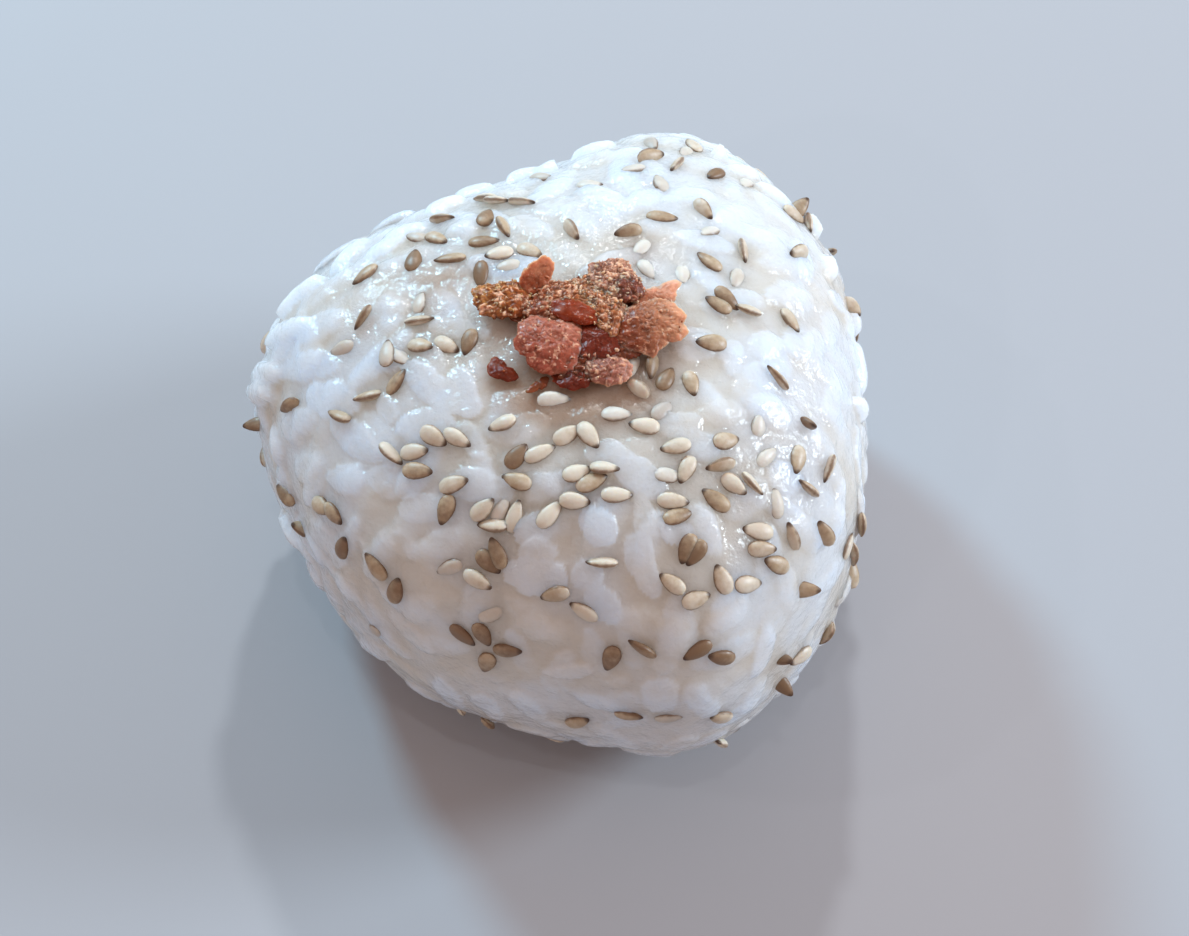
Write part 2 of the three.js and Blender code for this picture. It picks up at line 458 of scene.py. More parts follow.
# Grains that can be told apart: the pixel of the middle, the heading of the length in degrees,
# counted from right towards up, the length and width in mm, and how far the back stands above
# the skin in mm.
clearGrains = [
    (322, 290, 38, 6.2, 2.3, 0.22), (288, 332, 25, 7.0, 2.4, 0.95), (347, 256, 48, 5.6, 2.4, 0.70),
    (306, 366, 4, 8.0, 3.0, 0.37), (260, 393, 5, 6.5, 2.2, 1.15), (330, 400, -18, 7.0, 3.4, 0.37),
    (388, 362, -50, 2.6, 1.6, 0.31), (430, 385, -42, 8.0, 3.0, 0.34), (463, 392, -72, 5.5, 2.6, 0.37),
    (386, 408, -60, 2.8, 1.6, 0.25), (457, 328, -10, 6.0, 2.3, 0.22), (385, 270, 30, 7.0, 3.4, 0.12),
    (390, 305, -20, 4.0, 2.4, 0.12), (425, 426, 2, 6.0, 3.4, 0.37), (355, 440, -35, 7.4, 2.8, 0.34),
    (296, 424, 20, 6.0, 3.4, 0.28), (345, 478, 5, 5.2, 3.0, 0.31), (386, 482, -20, 4.4, 2.9, 0.28),
    (420, 508, 0, 4.5, 2.5, 0.28), (287, 532, -45, 6.0, 2.2, 0.85), (472, 440, -62, 4.0, 2.4, 0.25),
    (480, 487, -8, 6.6, 3.0, 0.31), (372, 572, -65, 6.0, 1.8, 0.12), (640, 476, -32, 5.6, 3.0, 0.34),
    (598, 527, -45, 3.9, 3.0, 0.40), (645, 518, -80, 4.6, 2.3, 0.22), (537, 552, 0, 3.4, 2.6, 0.28),
    (535, 577, -5, 6.0, 3.3, 0.43), (588, 574, 0, 3.0, 2.7, 0.28), (603, 604, -45, 4.4, 2.8, 0.31),
    (643, 566, -68, 5.8, 2.8, 0.31), (677, 533, -20, 3.7, 2.3, 0.40), (568, 672, 5, 4.8, 1.9, 0.25),
    (661, 697, 80, 5.2, 3.6, 0.31), (617, 683, 10, 2.8, 1.8, 0.12), (733, 355, 90, 3.8, 2.3, 0.25),
    (757, 384, 42, 6.0, 4.0, 0.22), (678, 424, 0, 4.4, 3.0, 0.25), (700, 346, 15, 4.5, 3.0, 0.25),
    (722, 412, 5, 4.4, 3.0, 0.15), (500, 188, -5, 6.4, 2.4, 0.19), (562, 173, 10, 3.0, 2.0, 0.19),
    (580, 160, 50, 3.0, 2.0, 0.25), (602, 152, 60, 3.0, 2.0, 0.19), (640, 152, 0, 5.0, 2.4, 0.19),
    (665, 140, 20, 4.4, 2.0, 0.25), (828, 265, -80, 3.4, 2.2, 0.31), (775, 250, 30, 4.5, 2.6, 0.15),
    (735, 302, 5, 7.0, 3.4, 0.22), (856, 357, -85, 4.0, 2.4, 0.25), (862, 400, -80, 3.4, 2.2, 0.25),
    (850, 325, 60, 3.0, 2.4, 0.31), (266, 374, 12, 7.0, 2.4, 0.90), (300, 298, 42, 6.5, 2.4, 0.95),
    (316, 328, 22, 6.4, 3.6, 0.25), (284, 352, 20, 5.0, 2.6, 0.45), (276, 447, -80, 4.0, 2.4, 0.55),
    (283, 482, -70, 4.2, 2.4, 0.45), (306, 470, 10, 5.4, 3.2, 0.20), (322, 540, -35, 6.0, 3.0, 0.20),
    (300, 566, -60, 5.0, 2.6, 0.45), (345, 590, -50, 6.5, 2.8, 0.22), (404, 232, 25, 5.2, 2.6, 0.55),
    (386, 246, 30, 4.6, 2.4, 0.50), (432, 268, 12, 5.0, 3.2, 0.15), (445, 205, 25, 4.4, 2.4, 0.70),
    (473, 192, 12, 4.2, 2.2, 0.70), (520, 150, 15, 4.0, 2.2, 0.75), (548, 152, 40, 3.6, 2.0, 0.70),
    (595, 140, 20, 4.2, 2.2, 0.70), (718, 153, 70, 1.9, 1.5, 1.00), (745, 172, -15, 4.0, 2.2, 0.60),
    (775, 195, -35, 4.2, 2.2, 0.60), (812, 226, -68, 2.9, 1.3, 1.00), (829, 266, -80, 3.0, 2.0, 0.85),
    (838, 300, -40, 4.0, 2.4, 0.45), (854, 322, 60, 2.6, 2.2, 0.75), (862, 368, -88, 5.4, 2.2, 0.70),
    (860, 409, -60, 2.6, 1.8, 0.85), (860, 452, -88, 5.0, 2.2, 0.35), (862, 500, -88, 4.6, 2.2, 0.35),
    (768, 345, 15, 4.8, 3.0, 0.22), (800, 300, 20, 5.4, 3.2, 0.20), (770, 410, -30, 5.2, 3.6, 0.22),
    (788, 478, 5, 4.0, 3.0, 0.30),
]
# Grains that are no more than faint lumps, so that their places are a guess.
faintGrains = [
    (700, 445, -15, 4.4, 3.0, 0.25), (815, 350, 75, 5.6, 3.0, 0.22), (835, 400, 80, 6.0, 3.0, 0.20),
    (560, 205, 10, 5.6, 3.0, 0.22), (600, 195, -20, 5.2, 2.8, 0.25), (640, 200, 30, 5.4, 3.0, 0.22),
    (690, 195, 5, 5.6, 3.0, 0.20), (735, 215, 35, 5.4, 3.0, 0.20), (760, 235, -20, 4.8, 2.8, 0.22),
    (530, 225, -25, 5.4, 2.8, 0.25), (470, 225, 20, 5.2, 2.8, 0.22), (560, 487, -20, 5.0, 2.8, 0.25),
    (520, 430, 15, 5.4, 2.8, 0.20), (610, 455, -10, 4.8, 2.8, 0.25), (705, 530, -60, 5.0, 2.8, 0.25),
    (745, 505, 20, 4.8, 2.8, 0.22), (790, 590, -75, 5.4, 2.8, 0.18), (730, 620, 40, 5.6, 3.2, 0.15),
    (640, 625, -15, 5.4, 3.0, 0.15), (440, 545, 25, 5.6, 3.0, 0.18), (400, 545, -25, 5.4, 2.8, 0.20),
    (420, 610, 35, 5.8, 3.0, 0.12), (540, 630, -10, 6.0, 3.2, 0.12), (600, 745, 5, 5.4, 2.4, 0.20),
    (680, 745, 20, 4.6, 2.4, 0.25), (752, 700, 60, 4.6, 2.8, 0.25), (530, 735, -12, 5.0, 2.6, 0.18),
]
knownGrains = clearGrains + faintGrains
# Places where the rice was pressed glassy, so that it looks darker and yellower: the pixel of
# the middle, how far across in mm, and how much.
glassyPlaces = [
    (375, 372, 6, 0.2), (440, 280, 8, 0.7), (400, 318, 7, 0.35), (480, 372, 6, 0.6),
    (560, 445, 12, 0.8), (640, 436, 8, 0.8), (520, 492, 7, 0.6), (690, 492, 8, 0.7),
    (700, 582, 8, 0.8), (372, 540, 8, 0.6), (468, 600, 8, 0.5), (618, 650, 9, 0.4),
    (684, 345, 7, 0.8), (640, 232, 7, 0.5), (516, 225, 7, 0.4), (520, 645, 9, 0.8),
    (700, 560, 6, 0.4),
]
# Places with more or less of the salmon's soaked-in oil and the heap's painted shadow, in the same
# form.
oilAndShadowPlaces = [
    (435, 285, 9, 0.6), (640, 250, 7, 0.45), (700, 610, 8, 0.2), (492, 345, 9, -0.6),
    (680, 365, 7, -0.5),
]
core = {
    "rings": 230,
    "spokes": 430,
    "facing": (0, -55),  # heading and height angle, in degrees, of the end with the wide rings
    "wideShare": (0.30, 0.44),  # share of the rings at that end, and of the way that they cover
    "scatter": 9.0,  # mm that light scatters inside
    "near": 0.2,  # radians from a grain's middle within which it counts
    "flat": 0.30,  # mm that a grain pressed flat rises above the rest at most
    "floor": -0.60,  # mm above the skin where no grain is near
    "soft": (0.10, 0.50),  # mm over which the back of one grain runs into the next
    "softPatch": 6.0,  # mm across the places where they run together more or less
    "softSteep": 2,  # how sharply one such place changes into the next
    "under": 0.20,  # mm that the core lies below the back of a loose grain
    "edge": 0.06,  # mm over which a known or loose grain runs into the rest
    "level": -0.15,  # mm above the skin that the relief is flattened towards
    "relief": 0.42,  # share of the relief that is left
    "farRelief": 0.30,  # and how much more on the far side
    "bends": [(3.4, 0.17), (1.3, 0.035)],  # mm across, and mm that they bend the grains' outlines
    "ripple": (0.9, 0.018),  # mm across, and mm high
    "starts": {"soft": 3, "bends": 60, "ripple": 70},  # what each noise is drawn from
    # Where the soaked-in oil and the heap's painted shadow lie:
    "oilAndShadowShift": 3.2,  # mm from the heap's middle to the front of it
    "oilAndShadowSize": (0.72, 0.85, 1),  # of the heap's, across and deep
    "oilAndShadowReach": 2.8,  # mm beyond that
    # Sides that were pressed smoother: heading and height angle of the middle and width, in
    # degrees, and the share of the relief that is lost there.
    "smoothSides": [(-80, -8, 42, 0.65), (8, 25, 42, 0.40), (60, 40, 25, 0.4)],
}


# A grain: a plump spindle along X, with one side straighter. across is the sine of the way along
# to a power below one.
def grainShape():
    along, around, faces = poleGrid(grain["rings"], grain["spokes"])
    lengthwise = -np.cos(np.pi * along)
    across = np.sin(np.pi * along) ** grain["plump"]
    sideways = across * np.cos(around) * (1 - grain["straighter"] * np.cos(around))
    upwards = across * np.sin(around)
    return np.stack([lengthwise, sideways, upwards], axis=-1) / 2, faces


# Places for a layer of grains: each try lands anywhere, turns to the heading with most room,
# and stays if its three spots keep their distance from those of the grains already there.
def placeGrains(layer):
    directions = unit(chance.normal(size=(layer["tries"], 3)))
    centres, normals = skinPoint(directions), skinNormal(directions)
    turns = chance.uniform(0, np.pi, layer["tries"])
    gap = layer["spacing"] * grain["width"]
    offsets = room["spots"] * grain["length"]
    spots, kept, headings = np.full((1, 3), np.inf), [], []
    for index, (centre, normal, turn) in enumerate(zip(centres, normals, turns)):
        near = spots[np.linalg.norm(spots - centre, axis=1) < grain["length"] * room["reach"]]
        angles = turn + np.arange(room["headings"]) * np.pi / room["headings"]
        choices = turnedAlong(normal, angles[:, None])
        three = centre + choices[:, None, :] * offsets[:, None]
        away = np.linalg.norm(three[:, :, None] - near, axis=-1).min(axis=(1, 2), initial=np.inf)
        best = int(np.argmax(away))
        if away[best] > gap:
            spots = np.concatenate([spots, three[best]])
            kept.append(index)
            headings.append(choices[best])
    return turnGrains(layer, centres[kept], normals[kept], np.array(headings))


# Grains at the given places, sunk, tipped and rolled by chance as their layer says: their
# middles, the three axes of each as rows, and the three sizes.
def turnGrains(layer, centres, normals, headings):
    count = len(centres)
    lean = np.radians(layer["tip"]) * chance.normal(0, grain["tipSpread"], (count, 1))
    lengthwise = headings * np.cos(lean) + normals * np.sin(lean)
    sideways = unit(np.cross(normals, lengthwise))
    upwards = np.cross(lengthwise, sideways)
    roll = chance.uniform(-grain["roll"], grain["roll"], (count, 1))
    rolled = sideways * np.cos(roll) + upwards * np.sin(roll)
    axes = np.stack([lengthwise, rolled, np.cross(lengthwise, rolled)], axis=1)
    sunk = layer["sunk"] + layer["differ"] * chance.uniform(-1, 1, (count, 1))
    sizes = np.array([grain["length"], grain["width"], grain["thick"]])
    sizes = sizes * (1 + grain["vary"] * chance.uniform(-1, 1, (count, 3)))
    return [centres - normals * sunk, axes, sizes]


# The known grains in the same form. The heading in the frame is carried along the ray onto
# the skin.
def seatKnownGrains(rows):
    middles, axes, sizes = [], [], []
    for x, y, heading, length, width, rise in rows:
        rise = rise * (grain["stand"] if rise < grain["low"] else 1)
        spot, ray = touch(skinTree, x, y)
        normal = skinNormal(unit(spot - ballCentre)[None])[0]
        lengthwise = shownAlong(ray, normal, heading)
        thick = width * grain["pressed"]
        sideways = np.cross(normal, lengthwise)
        if sideways @ frameUp < 0:
            lengthwise, sideways = -lengthwise, -sideways
        roll = math.radians(grain["rim"])
        raised = sideways * math.cos(roll) + normal * math.sin(roll)
        middles.append(spot + normal * (rise - thick / 2))
        axes.append([lengthwise, raised, np.cross(lengthwise, raised)])
        sizes.append([length, width, thick])
    return np.array(middles), np.array(axes), np.array(sizes)


# All grains' points: the one shape scaled, bent by the square of the way out from its middle,
# turned to each grain's axes and pressed.
def spreadGrains(middles, axes, sizes):
    shape, faces = grainShape()
    points = shape[None] * sizes[:, None]
    curve = (2 * shape[None, :, 0]) ** 2
    points[..., 1] += grain["bend"] * chance.uniform(-1, 1, (len(middles), 1)) * curve
    points[..., 2] -= grain["bend"] * curve
    points = middles[:, None] + np.einsum("gpk,gkc->gpc", points, axes)
    return pressed(points, grain["proud"]), repeatFaces(faces, len(middles), len(shape))


# Heights over the skin along each ray, with grains added: a soft maximum of the height that
# was there and of how high each grain reaches, so that their backs run into one another. The
# soft maximum is the logarithm of a sum of exponentials, and each grain's tone counts as much
# as its exponential does. A ray leaves a grain where its quadratic has its larger root.
def coverWith(cover, grains, tones, rays, skinReach, soft, under):
    high, tone = cover
    total = np.exp(high / soft)
    toned = total * tone
    for middle, turn, size, grainTone in zip(*grains, tones):
        arm = middle - ballCentre
        near = np.nonzero(rays @ unit(arm) > math.cos(core["near"]))[0]
        scaledRays = rays[near] @ turn.T / (size / 2)
        scaledArm = turn @ arm / (size / 2)
        square = (scaledRays**2).sum(axis=1)
        half = scaledRays @ scaledArm
        inside = half**2 - square * ((scaledArm**2).sum() - 1)
        near, square, half = near[inside > 0], square[inside > 0], half[inside > 0]
        reach = (half + np.sqrt(inside[inside > 0])) / square
        added = np.exp((reach - skinReach[near] - under) / soft[near])
        total[near] += added
        toned[near] += added * grainTone
    return soft * np.log(total), toned / total


# Directions all round for the core's grid, with its poles turned to the facing given and its
# rings crowded on the side that shows.
def coreRays():
    along, around, faces = poleGrid(core["rings"], core["spokes"])
    share, covered = core["wideShare"]
    straight = directionsAt(np.interp(along, [0, share, 1], [0, covered, 1]), around)
    heading, height = np.radians(core["facing"])
    turn = np.array([
        [1, 0, 0],
        [0, -math.sin(height), -math.cos(height)],
        [0, math.cos(height), -math.sin(height)],
    ])
    return straight @ turn.T, faces


# The tone of each known grain, which paints light on it: the more it stands out, the whiter it is.
def litTones(rows):
    least, span = grain["milky"]
    return np.clip((np.array(rows)[:, 5] - least) / span, 0, 1)


# The core: buried grains run together, more or less so as a logistic curve of a noise says, and
# flattened. Over them lie the flat grains, their rise held down by a hyperbolic tangent, then
# the proud ones, and the loose ones where they will lie.
def makeCore(buried, flat, flatTones, proud, loose):
    rays, faces = coreRays()
    skinReach = skinRadius(rays)
    sharpest, softest = core["soft"]
    skinSpots = rays * skinReach[:, None]
    starts = core["starts"]
    patch = waveNoise(skinSpots, core["softPatch"], starts["soft"])
    soft = sharpest + (softest - sharpest) / (1 + np.exp(-core["softSteep"] * patch))
    cover = np.full(len(rays), core["floor"]), np.zeros(len(rays))
    tones = [chance.uniform(0, 1, len(kind[0])) for kind in (buried, loose)]
    bent = skinSpots
    for index, (across, depth) in enumerate(core["bends"]):
        first = starts["bends"] + 3 * index
        swings = [waveNoise(skinSpots, across, first + part) for part in range(3)]
        bent = bent + depth * np.stack(swings, axis=-1)
    bent = unit(bent)
    high, tone = coverWith(cover, buried, tones[0], bent, skinReach, soft, 0)
    kept = core["relief"] + core["farRelief"] * np.clip(rays @ sight, 0, 1)
    for heading, height, width, lost in core["smoothSides"]:
        middle = directionsAt(np.array(0.5 + height / 180), np.radians(heading))
        kept = kept * (1 - lost * np.exp(-((np.arccos(rays @ middle) / np.radians(width)) ** 2)))
    high = core["level"] + (high - core["level"]) * kept
    edge = np.full(len(rays), core["edge"])
    across, height = core["ripple"]
    ground = high + height * waveNoise(skinSpots, across, starts["ripple"])
    high, tone = coverWith((ground, tone), flat, flatTones, bent, skinReach, edge, 0)
    high = ground + core["flat"] * np.tanh((high - ground) / core["flat"])
    # The proud grains take the whitest tone: painted light on what stands out most.
    cover = coverWith((high, tone), proud, np.ones(len(proud[0])), bent, skinReach, edge, 0)
    high, tone = coverWith(cover, loose, tones[1], rays, skinReach, edge, core["under"])
    points = pressed(ballCentre + rays * (skinReach + high)[:, None], grain["proud"])
    numbers = {"rise": high - core["level"], "tone": tone}
    return points, faces, numbers | {"oilAndShadow": oilAndShadowAt(points), "glassy": glassyAt(points)}


# How much of the salmon's soaked-in oil, with the heap's shadow painted in, there is: 1 inside an
# ellipse under the heap and in front of it, falling off outside as a bell curve of the distance,
# and the places given added.
def oilAndShadowAt(points):
    middle, half = (heapLow + heapHigh) / 2, (heapHigh - heapLow) / 2
    offset = points - middle - np.array([0, -core["oilAndShadowShift"], 0])
    half = half * core["oilAndShadowSize"]
    around = np.linalg.norm(offset[..., :2] / half[:2], axis=-1)
    away = np.maximum(around - 1, 0) * half[:2].mean()
    oilAndShadow = np.where(points[..., 2] > ballCentre[2], np.exp(-((away / core["oilAndShadowReach"]) ** 2)), 0)
    return oilAndShadow + patchesAt(points, oilAndShadowPlaces)


# Each place given adds a bell curve of the distance from it.
def patchesAt(points, places):
    total = np.zeros(points.shape[:-1])
    for x, y, across, much in places:
        spot, _ = touch(skinTree, x, y)
        away = np.linalg.norm(points - spot, axis=-1) / (across / 2)
        total = total + much * np.exp(-(away**2))
    return total


def glassyAt(points):
    return patchesAt(points, glassyPlaces)


# A pair of colours is the cool one and the warm one. The hollow pair is painted shade down in
# the hollows and the back pair painted bluish light on the grains' backs.
riceTints = {
    "hollow": (rgb(0.635, 0.66, 0.69), rgb(0.61, 0.58, 0.53)),
    "back": (rgb(0.645, 0.735, 0.845), rgb(0.655, 0.685, 0.725)),
    # Painted shade for the creases between grains.
    "creaseShadeTint": rgb(0.50, 0.50, 0.50),
    # Soaked-in oil, with the heap's shadow painted in.
    "oilAndShadowTint": rgb(0.36, 0.245, 0.175),
}


# Cooked rice: milky and translucent, with painted shade that makes it greyer and warmer down in
# the hollows and painted bluish light on the backs, and each grain a little different, under a
# thin wet film that is uneven enough to break each reflection up into glints.
def riceFinish(name, scatter):
    finish = Finish(name)
    rise, tone = finish.number("rise"), finish.number("tone")
    cloud = finish.noise(7.0, 2.0)
    warm = (cloud + finish.number("glassy") * 0.35).between(0.35, 0.70)
    grainy = (finish.noise(2.2, 2.0) - 0.5) * 0.5 + (finish.noise(0.8, 2.0) - 0.5) * 0.35
    # How far each point goes from the hollows' painted shade to the backs' painted light: by its
    # height, its tone and a noise.
    raised = (rise + grainy + (tone - 0.5) * 0.45).between(-0.25, 0.60)
    hollow = finish.blend(warm, *riceTints["hollow"])
    back = finish.blend(warm, *riceTints["back"])
    wall = finish.cells(3.1, 2.2)
    domed = wall.between(0.0, 0.34)
    # Painted shade in the creases between grains: a grey line along the cells' walls, in patches.
    creaseShade = (1 - wall.between(0.0, 0.12)) * finish.noise(3.0, 1.0).between(0.40, 0.65) * 0.10
    clean = finish.blend(creaseShade, finish.blend(raised, hollow, back), riceTints["creaseShadeTint"])
    # Soaked-in oil and the heap's painted shadow, most under and in front of the heap.
    oilAndShadowMask = (finish.number("oilAndShadow") + (cloud - 0.5) * 0.5).between(0.0, 1.0) * 0.95
    wet = finish.noise(2.4, 2.0).between(0.40, 0.62)
    film = finish.noise(0.42, 2.0, 0.5) + finish.noise(1.4, 1.0) * 0.8
    return finish.surface({
        "Base Color": finish.blend(oilAndShadowMask, clean, riceTints["oilAndShadowTint"]),
        "Roughness": 0.19 - wet * 0.15,
        "Subsurface Weight": 1.0,
        "Subsurface Radius": (1.0, 0.95, 0.90),
        "Subsurface Scale": scatter * mm,
        "IOR": 1.38,
        "Normal": finish.bump(film * 0.12 + domed * 0.08, 1.0, 1.0),
    })


# The chosen ones of a layer of grains, in the same form.
def pick(grains, chosen):
    return [part[chosen] for part in grains]


# The outer grains: the loose ones, only where they turn away from the camera, and those pressed
# flat, anywhere between the known grains.
def makeOuter(known):
    outer = placeGrains(outerGrains)
    middles = outer[0]
    normals = skinNormal(unit(middles - ballCentre))
    away = dot(normals, unit(eye - middles))[:, 0] < grain["turned"]
    free = away & (chance.random(len(away)) < grain["loose"])
    clear = np.linalg.norm(middles[:, None] - known[0], axis=-1).min(axis=1) > grain["clear"]
    stuck = clear & ~free & (glassyAt(middles) < grain["dull"])
    raised = np.where(away, grain["raised"][1], grain["raised"][0])
    outer[0] = middles + normals * (raised * stuck)[:, None]
    return pick(outer, free), pick(outer, stuck)


buried = placeGrains(buriedGrains)
known = seatKnownGrains(knownGrains)
loose, stuck = makeOuter(known)
low = np.array(knownGrains)[:, 5] < grain["low"]
flatGrains = [np.concatenate(pair) for pair in zip(pick(known, low), stuck)]
stuckTones = chance.uniform(*grain["tones"], len(stuck[0]))
flatTones = np.concatenate([litTones(knownGrains)[low], stuckTones])
grainPoints, grainFaces = spreadGrains(*loose)
corePoints, coreFaces, coreNumbers = makeCore(buried, flatGrains, flatTones, pick(known, ~low), loose)
grainTones = np.repeat(chance.uniform(0, 1, len(grainPoints)), grainPoints.shape[1])
riceGrains = makePiece(
    "rice_grains", grainPoints, grainFaces, riceFinish("loose rice", grain["scatter"]),
    {"rise": skinHeight(grainPoints) - core["level"], "tone": grainTones,
     "oilAndShadow": oilAndShadowAt(grainPoints), "glassy": glassyAt(grainPoints)},
)
pressedRice = riceFinish("pressed rice", core["scatter"])
riceCore = makePiece("rice_core", corePoints, coreFaces, pressedRice, coreNumbers)
riceShapes = [(grainPoints, grainFaces), (corePoints, coreFaces)]
riceTree = rayTree(*riceShapes)
for piece in (riceGrains, riceCore):
    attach(piece, "root")
    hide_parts("rice_ball")
print("rice made:", len(buried[0]), "buried,", len(flatTones), "flat,", len(loose[0]), "loose grains")

# Sesame.
seed = {
    "length": 2.85,
    "width": 1.55,
    "thick": 0.85,
    "vary": 0.07,
    "rings": 9,
    "spokes": 12,
    "lowest": 0.02,  # mm above the surface that the ball rests on
    "feel": (0.32, 0.35),  # where the rice is felt for, as shares of the length and the width
    "highest": 0.6,  # share that the highest place felt has in how high a seed lies
    "step": (1.2, 0.8),  # mm of height that a seed leans over at most, lengthwise and sideways
    "rollVary": (0.85, 1.1),  # times its seat's roll that a seed rolls
    "plump": 0.85,  # power of the sine that gives its width
    "pulled": (0.30, 0.16),  # shares by which it is narrower towards the tip, and at both ends
    "edge": (0.85, 1.15),  # powers that make it wider and flatter than round
}
# Seats: mm that a seed's middle lies above the rice, and radians that it rolls and pitches.
seats = {
    "flat": (0.06, 0.12, 0.0),
    "edge": (0.10, 0.95, 0.0),
    "outward": (0.10, 0.30, 1.0),
    "sunken": (-0.20, 0.20, 0.0),
}
# The seeds on the sides that no place below is given for.
unseen = {
    "count": 130,
    "apart": 2.3,  # mm
    "facing": -0.14,  # cosine of the angle between the normal and the camera where they end
    "lowest": -0.75,  # height part of the normal below which there are none
    "onEdge": 0.25,  # share of them that stand on their edge
    "edgeRoll": 1.1,
    "roll": 0.15,
    "lift": (-0.2, 0.25),
    "tone": (0.05, 0.85),
}

# Seeds as they lie: the pixel of the middle, the heading of the tip in degrees, counted from
# right towards up, and the tone, from 0, cream, to 1, dark brown.
flatSeeds = [
    (365, 275, 220, 0.6), (414, 261, 75, 0.9), (421, 346, -13, 0.4), (437, 239, -22, 0.45),
    (450, 259, 190, 0.6), (484, 242, 5, 0.75), (486, 218, 60, 0.75), (499, 254, 195, 0.0),
    (481, 276, -95, 1.0), (530, 252, -27, 0.35), (693, 146, 135, 0.3), (715, 175, 205, 1.0),
    (662, 218, -5, 0.6), (709, 262, 142, 0.6), (790, 321, -60, 0.4), (793, 216, -35, 0.4),
    (718, 305, 152, 0.6), (727, 299, -40, 0.75), (447, 346, -25, 0.3), (469, 343, -110, 0.75),
    (397, 382, 50, 0.6), (434, 437, -32, 0.25), (458, 439, -30, 0.25), (415, 452, 5, 0.2),
    (502, 424, 200, 0.2), (517, 456, 50, 0.9), (540, 453, 25, 0.15), (567, 435, 30, 0.25),
    (589, 436, -55, 0.2), (577, 473, 20, 0.1), (592, 482, 25, 0.5), (617, 495, 0, 0.1),
    (517, 481, 162, 0.5), (666, 379, 60, 0.85), (691, 384, -75, 0.5), (644, 426, 172, 0.1),
    (675, 447, 188, 0.3), (726, 441, 12, 0.45), (686, 470, -115, 0.3), (734, 485, -43, 0.15),
    (418, 471, -5, 0.6), (454, 484, 15, 0.35), (446, 510, -108, 0.65), (483, 509, 40, 0.25),
    (515, 516, 75, 0.2), (550, 514, 50, 0.1), (575, 501, -5, 0.0), (497, 553, 110, 0.75),
    (489, 562, -45, 0.8), (478, 580, -27, 0.25), (673, 501, -5, 0.25), (678, 516, 18, 0.65),
    (687, 549, -110, 0.75), (695, 553, -122, 0.85), (672, 583, 145, 0.35), (696, 599, 18, 0.35),
    (555, 594, 195, 0.45), (715, 500, 140, 0.65), (797, 460, -102, 0.45), (757, 531, 170, 0.05),
    (762, 549, 0, 0.4), (776, 564, 160, 0.55), (847, 546, 70, 0.05), (322, 506, -40, 0.5),
    (334, 514, -50, 0.6), (376, 566, 120, 0.6), (463, 635, -40, 0.95), (483, 634, -62, 0.8),
    (508, 650, 0, 0.8), (487, 662, -108, 0.65), (584, 611, 150, 0.15), (611, 658, -112, 0.8),
    (629, 714, -12, 0.6), (578, 721, 12, 0.55), (722, 579, 112, 0.3), (748, 584, 5, 0.25),
    (697, 650, 210, 0.95), (721, 657, 172, 0.85), (720, 716, 178, 0.35), (800, 656, 222, 0.05),
    (711, 343, 178, 0.55), (343, 547, 75, 0.9), (396, 590, 80, 0.75),
]
# Seeds that stand on their edge, so that they show narrow.
edgeSeeds = [
    (363, 318, 236, 0.7), (420, 321, 8, 0.35), (443, 220, 0, 0.45), (485, 199, 180, 0.25),
    (497, 201, 0, 0.2), (522, 203, -8, 0.2), (504, 228, -62, 0.5), (651, 158, 12, 0.5),
    (628, 233, 188, 0.6), (743, 252, -80, 0.3), (747, 310, 165, 0.3), (798, 253, 183, 0.3),
    (368, 397, 195, 0.45), (340, 416, 155, 0.5), (392, 454, -48, 0.2), (605, 468, -8, 0.15),
    (637, 389, 142, 0.15), (652, 367, -98, 0.75), (777, 378, 137, 0.45), (720, 466, 190, 0.4),
    (493, 525, 178, 0.3), (602, 562, 178, 0.3), (828, 469, -100, 0.25), (807, 488, 145, 0.45),
    (824, 533, 112, 0.55), (791, 536, 110, 0.3), (291, 406, 215, 0.7), (642, 648, 145, 0.75),
    (722, 746, 140, 0.05), (807, 225, -70, 0.05), (849, 308, -80, 0.35), (863, 526, -80, 0.5),
    (861, 558, -86, 0.5), (857, 576, 75, 0.5), (825, 633, -110, 0.5), (287, 494, 120, 0.75),
    (752, 484, -50, 0.3), (676, 166, 225, 0.3), (703, 211, -45, 0.35), (572, 231, -52, 0.3),
]
# Seeds pressed in so far that rice covers part of them.
sunkenSeeds = [
    (341, 349, 200, 0.6), (419, 302, 77, 0.5), (399, 356, -35, 0.15), (386, 352, 90, 0.6),
    (417, 237, 180, 0.6), (507, 266, 190, 0.5), (590, 184, 0, 0.3), (651, 143, -45, 0.7),
    (632, 168, 190, 0.35), (661, 182, 120, 0.5), (745, 183, 215, 0.2), (641, 248, 225, 0.1),
    (708, 231, 205, 0.15), (648, 270, -50, 0.2), (682, 275, -90, 0.2), (737, 279, 250, 0.5),
    (554, 399, 4, 0.35), (617, 413, 0, 0.3), (663, 410, 45, 0.9), (759, 425, 85, 0.3),
    (768, 457, 40, 0.3), (670, 475, 0, 0.4), (500, 509, 60, 0.3), (448, 569, 200, 0.5),
    (492, 614, 15, 0.5), (777, 502, 95, 0.4), (670, 719, 5, 0.6), (375, 632, 230, 0.8),
    (632, 366, -100, 0.4), (586, 281, 170, 0.5), (541, 176, 0, 0.6), (686, 152, 225, 0.4),
]
# Seeds that point outwards, so that little but the tip shows.
outwardSeeds = [
    (258, 424, 190, 0.75), (807, 424, -100, 0.8), (803, 589, 30, 0.55), (782, 659, 90, 0.8),
    (781, 684, -80, 0.95), (302, 528, 90, 0.5), (800, 207, 60, 0.6),
]


